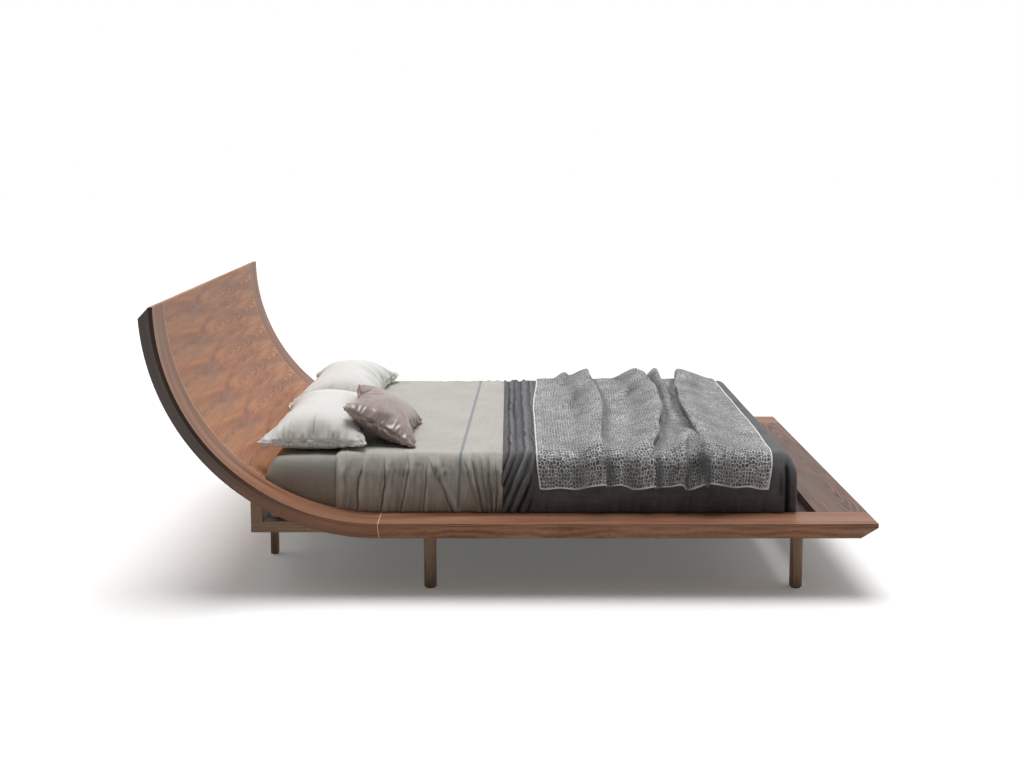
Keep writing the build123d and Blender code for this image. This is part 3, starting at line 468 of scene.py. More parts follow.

# %% [markdown]
# ## Cloth finishes
# Woven cloth shows crossing threads, thicker slubs here and there, and a soft rim of light from its raised fibres.
# The threads follow the length of the bed one way, and go across it and down its sides the other way, so Y and Z are
# added. On a face that looks along the bed they run down and across.
# Threads are drawn a few millimetres wide, because real ones would vanish at this distance.
# The linen cover has a satin ribbon sewn across it, which is drawn as a band along a slightly slanting line.
# Every finish darkens the creases marked on its piece, as painted shade.
# The sharpest creases are finer than the mesh, so they are drawn in the finish as lines of painted shade, with a raised
# lip on one side that is painted paler, as a painted highlight.

# %% Cloth finishes
def woven(name, dark, light, thread=0.004, sheen=0.15, relief=0.5, deep=None, ribbon=None,
          creases=(), drop=0.2, lip_highlight_tone="#ffffff", pucker=0.0):
    """A woven finish from two tones, with a thread's width in metres. Creases take the deep tone as painted shade.
    Each sharp fold line has its X at the bed's top, its X one drop lower, and the width of its lip, which takes the
    highlight tone as a painted highlight.
    Pucker is how deep the fine wrinkles lie down the sides."""
    material, tree, shader = new_finish(name, Sheen_Weight=sheen, Sheen_Roughness=0.5, Specular_IOR_Level=0.06)
    part = add(tree, "SeparateXYZ", {0: add(tree, "TexCoord").node.outputs["Object"]}).node.outputs
    down = add(tree, "Math", {0: part["Y"], 1: part["Z"]}, operation="ADD")
    place = add(tree, "CombineXYZ", {"X": part["X"], "Y": down})
    facing = add(tree, "SeparateXYZ", {0: add(tree, "TexCoord").node.outputs["Normal"]}).node.outputs["X"]
    facing = add(tree, "Math", {0: facing}, operation="ABSOLUTE")
    facing = add(tree, "Math", {0: facing, 1: 0.75}, operation="GREATER_THAN")
    at_end = add(tree, "CombineXYZ", {"X": part["Z"], "Y": part["Y"]})
    place = add(tree, "Mix", {0: facing, 4: place, 5: at_end}, data_type="VECTOR")
    yarn = {"Vector": place, "Scale": WAVE_PERIOD / thread, "Distortion": 0.6}
    warp, weft = [add(tree, "TexWave", yarn, bands_direction=way).node.outputs["Fac"] for way in "XY"]
    threads = add(tree, "Math", {0: warp, 1: weft}, operation="MULTIPLY")
    # slubs, thicker yarns 6 mm wide and 120 mm long, both ways
    longways = add(tree, "Mapping", {"Vector": place, "Scale": (1 / 0.12, 1 / 0.006, 1)})
    crossways = add(tree, "Mapping", {"Vector": place, "Scale": (1 / 0.006, 1 / 0.12, 1)})
    slubs = add(tree, "Mix", {0: 0.5, 2: add(tree, "TexNoise", {"Vector": longways, "Scale": 1.0}),
                              3: add(tree, "TexNoise", {"Vector": crossways, "Scale": 1.0})})
    # wear, cloudy patches 180 mm wide
    wear = add(tree, "TexNoise", {"Vector": place, "Scale": 1 / 0.18, "Detail": 3.0})
    mixed = add(tree, "Mix", {0: 0.3, 2: wear, 3: threads})
    mixed = add(tree, "Mix", {0: 0.5, 2: mixed, 3: slubs})
    colour = add(tree, "ValToRGB", {"Fac": mixed}, stops=[(0.3, dark), (0.65, light)])
    height = add(tree, "Mix", {0: 0.5, 2: threads, 3: slubs})
    dull = add(tree, "MapRange", {"Value": slubs, "To Min": 0.8, "To Max": 0.95})
    if ribbon:
        tint, start, per_y, per_z, half = ribbon
        line = add(tree, "Math", {0: part["Y"], 1: -per_y, 2: part["X"]}, operation="MULTIPLY_ADD")
        line = add(tree, "Math", {0: part["Z"], 1: -per_z, 2: line}, operation="MULTIPLY_ADD")
        gap = add(tree, "Math", {0: line, 1: start, 2: half}, operation="COMPARE")
        colour = add(tree, "Mix", {0: gap, 6: colour, 7: linear(tint)}, data_type="RGBA")
        height = add(tree, "Math", {0: gap, 1: 1.5, 2: height}, operation="MULTIPLY_ADD")
        dull = add(tree, "Math", {0: gap, 1: -0.45, 2: dull}, operation="MULTIPLY_ADD")
    painted_crease_shade = add(tree, "Attribute", attribute_name="painted_crease_shade").node.outputs["Fac"]
    bump = add(tree, "Bump", {"Height": height, "Strength": relief, "Distance": 0.0012})
    if creases:
        sway = add(tree, "TexNoise", {"Vector": place, "Scale": 1 / 0.12, "Detail": 1.0})
        sway = add(tree, "Math", {0: sway, 1: 0.03, 2: part["X"]}, operation="MULTIPLY_ADD")
        # fine wrinkles 20 mm wide and 110 mm long
        fine = add(tree, "Mapping", {"Vector": place, "Scale": (1 / 0.02, 1 / 0.11, 1)})
        fine = add(tree, "TexNoise", {"Vector": fine, "Scale": 1.0, "Detail": 1.0},
                   noise_type="RIDGED_MULTIFRACTAL")
        # 0 on top, and 1 from 50 mm below the mattress's top
        aside = add(tree, "MapRange", {"Value": part["Z"], "From Min": BED_HIGH.z + 0.012,
                                       "From Max": BED_HIGH.z - 0.05})
        lips = add(tree, "Math", {0: fine, 1: pucker}, operation="MULTIPLY")
        # painted shade lines come and go
        sharp = add(tree, "MapRange", {"Value": wear, "From Min": 0.35, "From Max": 0.6, "To Min": 0.3})
        for turn, hem, lip in creases:
            slope = (turn - hem) / drop
            gap = add(tree, "Math", {0: part["Z"], 1: -slope, 2: sway}, operation="MULTIPLY_ADD")
            gap = add(tree, "Math", {0: gap, 1: turn - slope * BED_HIGH.z + 0.015}, operation="SUBTRACT")
            steep = add(tree, "MapRange", {"Value": gap, "From Min": -0.004, "From Max": 0.003})
            gentle = add(tree, "MapRange", {"Value": gap, "From Min": 0.003, "From Max": lip,
                                            "To Min": 1.0, "To Max": 0.0})
            lips = add(tree, "Math", {0: steep, 1: gentle, 2: lips}, operation="MULTIPLY_ADD")
            line = add(tree, "Math", {0: gap, 1: 0.004}, operation="ADD")
            line = add(tree, "Math", {0: line}, operation="ABSOLUTE")
            line = add(tree, "MapRange", {"Value": line, "From Max": 0.005, "To Min": sharp, "To Max": 0.0})
            painted_crease_shade = add(tree, "Math", {0: painted_crease_shade, 1: line}, operation="MAXIMUM")
        if pucker:  # the top lies smooth
            lips = add(tree, "Math", {0: lips, 1: aside}, operation="MULTIPLY")
            painted_crease_shade = add(tree, "Math", {0: painted_crease_shade, 1: aside}, operation="MULTIPLY")
        bump = add(tree, "Bump", {"Height": lips, "Strength": 1.0, "Distance": 0.012, "Normal": bump})
        # painted highlight: lips are painted paler, as if they caught the light
        lip_highlight = add(tree, "Math", {0: lips, 1: 0.35}, operation="MULTIPLY", use_clamp=True)
        colour = add(tree, "Mix", {0: lip_highlight, 6: colour, 7: linear(lip_highlight_tone)}, data_type="RGBA")
    # painted shade: creases and crease lines take the deep tone
    colour = add(tree, "Mix", {0: painted_crease_shade, 6: colour, 7: linear(deep or dark)}, data_type="RGBA")
    close_finish(tree, shader, colour, dull, bump)
    return material


COVER_GROWTH = 0.019  # how far the cover lies off the mattress
CLOTH_TOP = BED_HIGH.z + COVER_GROWTH
CLOTH_DROP = CLOTH_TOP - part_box("light_cover")[0].z  # from the top of the cover to its hem
# ticking: a close pale weave, seen under the stile and when the mattress is lifted
finishes["ticking"] = woven("cotton mattress ticking", "#c9cdbf", "#dee1d5", relief=0.4)
# percale: tight and flat, so the stretched sheet shades as smoothly as a drum
finishes["sheet"] = woven("grey cotton percale", "#99978f", "#b2afa7", thread=0.003, relief=0.2)
# washed linen: uneven slubs and a dry surface that shows every pucker, with painted shade in its creases and a painted
# highlight on their lips; the ribbon on it is cool grey satin
# the ribbon: its tint, the X where its line meets the floor's level, its slant over Y and over Z, and half its width
RIBBON = ("#8d9398", -0.1895, 0.0274, 0.051, 0.006)
# sharp crease lines, each drawn as painted shade, with a lip that takes a painted highlight
COVER_LINES = [(-0.655, -0.668, 0.05), (-0.560, -0.585, 0.03), (-0.470, -0.485, 0.03), (-0.378, -0.418, 0.04),
               (-0.305, -0.328, 0.04), (-0.300, -0.203, 0.03), (-0.172, -0.095, 0.02), (-0.140, -0.088, 0.02),
               (-0.108, -0.084, 0.018), (-0.080, -0.077, 0.018), (-0.050, -0.066, 0.018)]
finishes["cover"] = woven("washed linen with a satin ribbon", "#b2b0a7", "#cdcbc3", relief=0.3, deep="#64615b",
                          ribbon=RIBBON, creases=COVER_LINES, drop=CLOTH_DROP, lip_highlight_tone="#e9e7df", pucker=0.5)
# wool: nearly black painted shade in the folds, a grey painted highlight on the lips of its sharp creases, and a soft
# sheen from its fibres
BLANKET_LINES = [(-0.008, -0.075, 0.03), (0.050, -0.03, 0.04), (0.086, 0.005, 0.03)]
finishes["blanket"] = woven("charcoal wool", "#4d4c4e", "#7b7a7e", thread=0.005, sheen=0.2, relief=0.4,
                            deep="#0f0e0f", creases=BLANKET_LINES, lip_highlight_tone="#a9a8ab")
# pillow cotton: smooth and white, shaped only by its gathers, with painted shade in their creases
finishes["pillow"] = woven("white cotton pillowcase", "#e6e5e1", "#f2f2ef", thread=0.003, relief=0.1, deep="#a5a59b")
# lining: plain pale cotton on the back of the throw, with painted shade in its creases
finishes["lining"] = woven("pale cotton lining", "#b9b8b2", "#d3d2cc", thread=0.003, relief=0.2)
print("cloth:", [finishes[name].name for name in ("ticking", "sheet", "cover", "blanket", "pillow", "lining")])

# %% [markdown]
# ## Mattress
# A sprung mattress is a block with rounded edges, a woven ticking, and a corded seam round the top and the bottom.
# Most of it is hidden, but its pale head end shows beside the headboard post, and all of it when it is lifted.
# Each cord is a flat rectangle with rounded corners, turned into a curve and given a thickness.

# %% Mattress
CORD = 0.003  # radius of the seam's cord, which stays inside the mattress's size
ROUNDING = Vector((0.04, 0.04, 0.085))  # a bed's top edge rolls over slowly under its weight of cloth
INSET = Vector((CORD, CORD, 0))
mattress = soft_block("mattress_block", BED_LOW + INSET, BED_HIGH - INSET, ROUNDING, voxel=0.02, round_below=True)
cords = []
for level in (BED_HIGH.z - ROUNDING.z, BED_LOW.z + ROUNDING.z):
    middle = (BED_LOW + BED_HIGH) / 2
    bpy.ops.object.select_all(action="DESELECT")
    bpy.ops.mesh.primitive_plane_add(size=1, location=(middle.x, middle.y, level))
    cord = bpy.context.object
    cord.scale = (BED_HIGH.x - BED_LOW.x - 2 * CORD, BED_HIGH.y - BED_LOW.y - 2 * CORD, 1)
    bpy.ops.object.transform_apply(location=True, rotation=True, scale=True)
    bpy.ops.object.mode_set(mode="EDIT")
    bpy.ops.mesh.bevel(offset=ROUNDING.x, segments=8, affect="VERTICES")
    bpy.ops.mesh.delete(type="ONLY_FACE")
    bpy.ops.object.mode_set(mode="OBJECT")
    bpy.ops.object.convert(target="CURVE")
    cord.data.bevel_depth = CORD
    cord.data.bevel_resolution = 2
    bpy.ops.object.convert(target="MESH")
    cords.append(cord)
only(mattress)
for cord in cords:
    cord.select_set(True)
bpy.ops.object.join()
finish_piece(mattress, finishes["ticking"], "mattress", "mattress")
print("mattress:", len(mattress.data.polygons), "faces")

# %% [markdown]
# ## Fitted sheet
# The sheet is pulled over the mattress and held under it by elastic, so it is smooth, with faint strain lines down its
# sides and a little slack at its head corners. It is the mattress block grown by its own thickness, cut open
# underneath, and moved a millimetre or so by stretched noise.

# %% Fitted sheet
SHEET_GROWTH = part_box("fitted_sheet")[1].z - BED_HIGH.z
SPARE = 0.15  # extra length of a shell, which is trimmed off again


def over_mattress(name, growth, voxel, hem, start=None, end=None, dense=None):
    """A cloth shell over the mattress at some distance, open below its hem, between two places along the bed.
    Dense is a stretch along the bed and how many times closer its points lie."""
    low, high = BED_LOW - Vector((growth, growth, 0)), BED_HIGH + Vector((growth, growth, growth))
    if start is not None:
        low.x = start - SPARE
    if end is not None:
        high.x = end + SPARE
    if dense:
        dense_from, dense_to, times = dense
        low.x -= (dense_to - dense_from) * (times - 1)
    piece = soft_block(name, low, high, ROUNDING + Vector((growth, growth, growth)), voxel)
    if dense:
        for point in piece.data.vertices:  # draws a longer stretch together
            back = max(0.0, dense_to - point.co.x)
            point.co.x += min(back, (dense_to - dense_from) * times) * (1 - 1 / times)
    trim(piece, (0, 0, hem), (0, 0, -1))
    if start is not None:
        trim(piece, (start, 0, 0), (-1, 0, 0))
    if end is not None:
        trim(piece, (end, 0, 0), (1, 0, 0))
    return piece


def strain(place):
    """Faint lines down the sheet's sides, and slack cloth at its two head corners."""
    down = fade(BED_HIGH.z - place.z, 0.0, 0.2)
    slack = bell(place.x - BED_LOW.x, 0.05) * bell(place.z - BED_HIGH.z + 0.09, 0.05) * fade(abs(place.y), 0.6, 0.78)
    return 0.012 * slack + 0.0012 * down * fold_noise((place.z + place.x * 0.3, place.x - place.y), 0.25, 0.03, 3.0)


sheet = over_mattress("fitted_sheet_cloth", SHEET_GROWTH, 0.014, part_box("fitted_sheet")[0].z)
push(sheet, strain)
modify(sheet, "SOLIDIFY", thickness=0.0015, offset=-1)
finish_piece(sheet, finishes["sheet"], "mattress", "fitted_sheet")
print("sheet:", len(sheet.data.polygons), "faces")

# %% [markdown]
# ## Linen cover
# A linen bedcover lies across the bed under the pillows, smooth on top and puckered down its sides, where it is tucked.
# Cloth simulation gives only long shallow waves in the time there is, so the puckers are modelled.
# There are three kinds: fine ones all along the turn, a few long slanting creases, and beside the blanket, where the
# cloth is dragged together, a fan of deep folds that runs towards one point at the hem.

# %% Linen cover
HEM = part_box("light_cover")[0].z + 0.002
COVER_HEAD, COVER_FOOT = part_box("light_cover")[0].x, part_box("light_cover")[1].x + 0.012
CLOTH_SIDE = BED_HIGH.y + COVER_GROWTH

# each long crease: its X at the turn and at the hem, and its height
CREASES = [(-0.640, -0.655, 0.008), (-0.560, -0.585, 0.006), (-0.470, -0.485, 0.006), (-0.375, -0.416, 0.011),
           (-0.310, -0.327, 0.009), (-0.290, -0.200, 0.012), (-0.245, -0.225, 0.006)]


def cover_folds(place):
    """Puckers at the turn of the cover and down its side, soon gone on the top."""
    seed = 2.0 if place.y < 0 else 9.0
    inside = CLOTH_SIDE - abs(place.y)
    depth = CLOTH_TOP - place.z
    near_side = math.exp(-max(0.0, inside - 0.045) / 0.025)
    run = place.x + 0.1 * depth + 0.01 * fold_noise((place.x, place.z), 0.09, 0.06, seed)
    fine = 0.007 * pleat(run, 0.02, seed, place.z * 5) * bell(depth - 0.05, 0.06)
    fine += 0.003 * pleat(run, 0.03, seed + 3, place.z * 3)
    long = 0.0
    for top, hem, height in CREASES:
        gap = place.x - top - (hem - top) * depth / CLOTH_DROP
        long = max(long, height * bell(gap, 0.009 if gap < 0 else 0.016))
    long *= fade(depth, 0.01, 0.06)
    middle, spread = -0.098 + 0.1 * depth, 0.078 - 0.17 * depth  # the fan's middle and half width, closing downwards
    turn = (place.x - middle) / spread + 0.12 * fold_noise((place.x, place.z), 0.05, 0.09, seed)
    fan = 0.4 * (0.5 + 0.5 * math.cos(5 * math.pi * turn)) ** 1.5 + 0.75 * pleat(turn, 0.42, seed + 5, depth * 6)
    fan *= 0.022 * fade(1.3 - abs(turn), 0.0, 0.3) * fade(depth, -0.01, 0.06) * (1 - 0.4 * fade(depth, 0.13, 0.22))
    soft = fold_noise((place.y, place.x), 0.3, 0.12, 2.0) + 0.5 * fold_noise((place.x, place.y), 0.2, 0.07, 4.0)
    drawn = 0.0025 * bell(place.x + 0.062, 0.014) + 0.0015 * bell(place.x + 0.105, 0.012)  # two low ridges on top
    lap = fade(COVER_FOOT - place.x, 0.0, 0.035)  # flat where the blanket laps over it
    hem = 0.010 * (1 - fade(place.x - COVER_HEAD, 0.0, 0.022)) + 0.006 * (1 - lap)
    aside = near_side * (fine + long + fan - 0.006 * fade(depth, 0.0, 0.05))
    return lap * (aside + 0.0015 * soft + drawn) - hem


def stile_top(x):
    """Height of the stile's face, which rises towards the head."""
    run = min(max(CURVE_X - x, 0.0), CURVE_RADIUS)
    return CURVE_Z - math.sqrt(CURVE_RADIUS**2 - run**2)


cover = over_mattress("linen_cover", COVER_GROWTH, 0.0068, HEM, COVER_HEAD, COVER_FOOT, dense=(-0.22, 0.0, 2.0))
push(cover, cover_folds)
for point in cover.data.vertices:
    point.co.z = max(point.co.z, stile_top(point.co.x) + 0.0015)
mark_crease_shade(cover, 0.0018)
modify(cover, "SOLIDIFY", thickness=0.003, offset=-1)
finish_piece(cover, finishes["cover"], "mattress", "light_cover")
print("cover:", len(cover.data.polygons), "faces", [round(side, 3) for side in cover.dimensions])

# %% [markdown]
# ## Wool blanket
# A charcoal blanket covers the foot half, tucked down at the sides and the foot, with deep gathers at its head edge.
# The gathers run across the bed, slant down its sides, and lap over the end of the linen cover.
# At the foot the side is tucked in first and the end folded over it, which leaves a dark upright fold at each corner.

# %% Wool blanket
BLANKET_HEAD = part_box("dark_blanket")[0].x - 0.009
BLANKET_GROWTH = 0.023

# each gather: its distance from the head edge, its height and its width
GATHERS = [(0.010, 0.009, 0.009), (0.036, 0.012, 0.010), (0.066, 0.013, 0.011), (0.098, 0.011, 0.011),
           (0.130, 0.013, 0.012), (0.162, 0.012, 0.012), (0.196, 0.010, 0.013)]
TUCK_X = 1.052  # the dark upright fold at each foot corner


def blanket_folds(place):
    """Gathers at the head edge, slack folds down the sides and an upright fold at each foot corner."""
    inside = BED_HIGH.y + BLANKET_GROWTH - abs(place.y)
    depth = max(0.0, BED_HIGH.z + BLANKET_GROWTH - place.z)
    from_head = place.x - BLANKET_HEAD + 0.42 * depth
    gathers = 0.0
    for index, (middle, height, width) in enumerate(GATHERS):
        sway = 0.014 * fold_noise((place.y + place.z, index * 3.0), 0.42, 1.0, 5.0)
        swell = height * (0.75 + 0.6 * fold_noise((place.y - place.z, index * 5.0), 0.3, 1.0, 8.0))
        gathers = max(gathers, swell * bell(from_head - middle - sway, width))
    gathered = 1 - fade(place.x, 0.065, 0.1)  # none under the throw
    turn = math.exp(-max(0.0, inside - 0.03) / 0.04)
    slack = pleat(place.x + 0.25 * depth, 0.09, 5.0 if place.y < 0 else 12.0, place.z * 3) * fade(depth, 0.03, 0.1)
    if 0.08 < place.x < 1.03:
        slack *= fade(depth, 0.13, 0.17)  # flat under the throw
    tuck = 0.009 * bell(place.x - TUCK_X - 0.03, 0.014) + 0.004 * bell(place.x - TUCK_X + 0.032, 0.03)
    tuck -= 0.013 * bell(place.x - TUCK_X, 0.009)
    tuck *= fade(depth, 0.02, 0.07) * fade(0.06 - inside, 0.0, 0.04)
    soft = fold_noise((place.y, place.x), 0.35, 0.15, 5.0)
    return gathered * (1.25 * gathers - 0.006) + turn * 0.006 * slack + tuck + 0.0015 * soft


blanket = over_mattress("wool_blanket", BLANKET_GROWTH, 0.0084, HEM, start=BLANKET_HEAD, dense=(-0.04, 0.12, 2.5))
push(blanket, blanket_folds)
mark_crease_shade(blanket)
modify(blanket, "SOLIDIFY", thickness=0.004, offset=-1)
finish_piece(blanket, finishes["blanket"], "mattress", "dark_blanket")
print("blanket:", len(blanket.data.polygons), "faces", [round(side, 3) for side in blanket.dimensions])

# %% [markdown]
# ## Throw
# The throw is a satin jacquard, laid across the foot half so loosely that it stands in rolls from side to side.
# It starts as a flat grid. Each row of the grid is bent over the bed's section, and each roll is a ridge with a path,
# a height, a steep side and a gentle side, read off the photograph. A roll leans over its steep side.
# Points are spaced evenly along every row, so the woven pattern is not stretched on the flanks of the rolls.

# %% Throw
THROW_LIFT = 0.0275  # above the mattress, clear of the blanket
SECTION_ROUND = 0.065  # radius of the bed's section where the cloth turns down
SECTION_SIDE, SECTION_TOP = BED_HIGH.y + THROW_LIFT, BED_HIGH.z + THROW_LIFT
SECTION_FLAT, SECTION_TURN = SECTION_SIDE - SECTION_ROUND, SECTION_ROUND * math.pi / 2
THROW_DROP = SECTION_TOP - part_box("throw")[0].z + 0.008
# from the middle of the bed to a hem, along the cloth
THROW_HALF = SECTION_FLAT + SECTION_TURN + THROW_DROP - SECTION_ROUND

# stops of distance across the cloth from its middle and X, for the throw's head edge and its foot edge
HEAD_EDGE = [(-1.0, 0.118), (-0.8, 0.100), (0.0, 0.102), (0.8, 0.130), (1.0, 0.134)]
FOOT_EDGE = [(-1.0, 0.975), (-0.8, 0.998), (-0.3, 1.012), (0.8, 1.018), (1.0, 1.018)]
# each roll: stops of distance across, X and height; its width towards the head and the foot; its lean towards the foot
ROLLS = [
    ([(-1.0, 0.340, 0.022), (-0.8, 0.323, 0.027), (0.12, 0.362, 0.042), (0.8, 0.335, 0.052),
      (1.0, 0.330, 0.030)], 0.050, 0.020, 1.0),
    ([(-0.05, 0.235, 0.0), (0.1, 0.255, 0.016), (0.38, 0.304, 0.030), (0.64, 0.335, 0.032),
      (0.7, 0.34, 0.0)], 0.034, 0.026, 0.4),
    ([(0.48, 0.285, 0.0), (0.78, 0.262, 0.034), (1.0, 0.260, 0.022)], 0.030, 0.024, 0.4),
    ([(-1.0, 0.523, 0.022), (-0.8, 0.512, 0.028), (-0.5, 0.559, 0.040), (-0.05, 0.611, 0.048),
      (0.3, 0.624, 0.050), (0.66, 0.610, 0.052), (0.82, 0.568, 0.056), (1.0, 0.555, 0.030)], 0.046, 0.020, 1.0),
    ([(0.18, 0.490, 0.0), (0.26, 0.505, 0.014), (0.42, 0.548, 0.028), (0.62, 0.592, 0.034),
      (0.68, 0.6, 0.0)], 0.030, 0.022, 0.3),
    ([(0.18, 0.720, 0.0), (0.28, 0.719, 0.016), (0.55, 0.711, 0.040), (0.8, 0.705, 0.056),
      (1.0, 0.700, 0.030)], 0.028, 0.024, 0.4),
    ([(-1.0, 0.785, 0.026), (-0.83, 0.764, 0.032), (-0.5, 0.785, 0.038), (-0.05, 0.792, 0.042),
      (0.35, 0.822, 0.046), (0.8, 0.886, 0.052), (1.0, 0.880, 0.030)], 0.020, 0.075, -0.9),
    ([(-1.0, 0.636, 0.024), (-0.8, 0.652, 0.026), (-0.5, 0.700, 0.018), (-0.38, 0.712, 0.0)], 0.022, 0.018, 0.4),
    ([(-1.0, 0.722, 0.028), (-0.8, 0.720, 0.036), (-0.55, 0.712, 0.028), (-0.36, 0.700, 0.0)], 0.022, 0.018, 0.7),
    ([(-1.0, 0.900, 0.012), (-0.8, 0.890, 0.007), (-0.6, 0.880, 0.0)], 0.040, 0.040, 0.0),
    ([(-1.0, 0.430, 0.012), (-0.8, 0.432, 0.008), (-0.6, 0.440, 0.0)], 0.035, 0.030, 0.2),
]


def stop_at(stops, across):
    """Values at a distance across the cloth, eased from stop to stop, or nothing outside the stops."""
    for (start, *low), (end, *high) in zip(stops, stops[1:]):
        if start <= across <= end:
            share = fade(across, start, end)
            return [a + (b - a) * share for a, b in zip(low, high)]
    return None


def section(across):
    """Place and outward direction on the bed's section, at a distance across the cloth from its middle."""
    side, run = math.copysign(1, across), abs(across)
    if run < SECTION_FLAT:
        return across, SECTION_TOP, Vector((0, 0, 1))
    angle = min((run - SECTION_FLAT) / SECTION_ROUND, math.pi / 2)
    out = Vector((0, side * math.sin(angle), math.cos(angle)))
    hang = max(0.0, run - SECTION_FLAT - SECTION_TURN)
    return side * SECTION_FLAT + SECTION_ROUND * out.y, SECTION_TOP - SECTION_ROUND * (1 - out.z) - hang, out


def standing(x, across, rolls):
    """How far the throw stands off the bed, how far it leans towards the foot, and how much painted shade it takes
    beside a roll.
    """
    total, leaning, roll_shade = 1e-12, 0.0, 0.0
    for (middle, height), head_width, foot_width, lean in rolls:
        gap = x - middle
        # painted shadow under a roll's overhang, and a softer painted shade up its gentle side
        under = bell(gap - math.copysign(0.024, lean) - lean * height, 0.018) * min(1.0, 2 * abs(lean))
        flank_shade = bell(gap + math.copysign(0.06, lean), 0.03) * abs(lean)  # a softer shade up its gentle side
        roll_shade = max(roll_shade, height / 0.035 * under, height / 0.065 * flank_shade)
        height *= math.exp(-abs(gap / (head_width if gap < 0 else foot_width)) ** 2.2)
        total += height**4
        leaning += lean * height**5
    # small folds between two rolls, and a slight unevenness everywhere
    creased = fade(x, 0.60, 0.66) * (1 - fade(x, 0.74, 0.78)) * bell(across + 0.06, 0.22)
    small = 0.008 * creased * pleat(across + 0.35 * x, 0.05, 31.0, x * 3)
    small += 0.0035 * fold_noise((across, x), 0.16, 0.05, 7.0) + 0.002 * fold_noise((x, across), 0.05, 0.07, 3.0)
    return max(0.0, total**0.25 + small), leaning / total, roll_shade


THROW_COLUMNS, THROW_ROWS, STEPS = 180, 210, 420
bpy.ops.object.select_all(action="DESELECT")
bpy.ops.mesh.primitive_grid_add(x_subdivisions=THROW_COLUMNS, y_subdivisions=THROW_ROWS, size=1)
throw = bpy.context.object
throw.name = "jacquard_throw"
widest = 0.0
row_points = {}
for row in range(THROW_ROWS + 1):
    across = THROW_HALF * (2 * row / THROW_ROWS - 1)
    y, z, out = section(across)
    rolls = [(stop_at(stops, across), *shape) for stops, *shape in ROLLS if stop_at(stops, across)]
    head, foot = stop_at(HEAD_EDGE, across)[0], stop_at(FOOT_EDGE, across)[0]
    hang = max(0.0, abs(across) - SECTION_FLAT - SECTION_TURN)
    places, lengths = [], [0.0]
    for step in range(STEPS + 1):
        x = head + (foot - head) * step / STEPS
        rise, lean, roll_shade = standing(x, across, rolls)
        rise *= fade(x - head, -0.04, 0.04)
        wave = 0.2 * hang * fold_noise((x, 0.0), 0.09, 1.0, 14.0)
        # a roll takes up cloth as it turns down the side, so its hem ends higher
        taken = 0.9 * rise * fade(out.z, 1.0, 0.0)
        places.append((Vector((x + lean, y, z + wave + taken)) + out * rise * (1.3 - 0.3 * out.z)).to_4d())
        # painted shade beside the rolls, deeper down the side
        places[-1].w = roll_shade * (1.3 - 0.6 * out.z)  # the shade, deeper down the side, travels with its point
        if step:
            lengths.append(lengths[-1] + (places[-1] - places[-2]).to_3d().length)
    widest = max(widest, lengths[-1])
    at = 0
    for column in range(THROW_COLUMNS + 1):
        want = lengths[-1] * column / THROW_COLUMNS
        while at < STEPS - 1 and lengths[at + 1] < want:
            at += 1
        share = (want - lengths[at]) / max(1e-9, lengths[at + 1] - lengths[at])
        row_points[column, row] = places[at].lerp(places[at + 1], share)
shade = []
for point in throw.data.vertices:
    column, row = round((point.co.x + 0.5) * THROW_COLUMNS), round((point.co.y + 0.5) * THROW_ROWS)
    point.co = row_points[column, row].to_3d()
    shade.append(row_points[column, row].w)
for corner in throw.data.uv_layers[0].data:
    corner.uv = (corner.uv[0] * widest, corner.uv[1] * 2 * THROW_HALF)  # the cut cloth, in metres
modify(throw, "SMOOTH", factor=0.5, iterations=2)
mark_crease_shade(throw)
# the painted shade beside the rolls joins the painted crease shade
for value, deep in zip(throw.data.attributes["painted_crease_shade"].data, shade):
    value.value = min(1.0, max(value.value, deep))
modify(throw, "SOLIDIFY", thickness=0.004, offset=1)
print("throw: cut", round(widest, 3), "by", round(2 * THROW_HALF, 3), "m,", len(throw.data.polygons), "faces")

# %% [markdown]
# The throw's pattern is a net of pale lines round dark scales, woven in bright and dull yarn, so its lines catch light.
# It reads the cut cloth's own UV map in metres, which keeps every scale the same size on the rolls.
# A narrow white binding runs round the edge, drawn where the map is close to the border, and the back is lined.

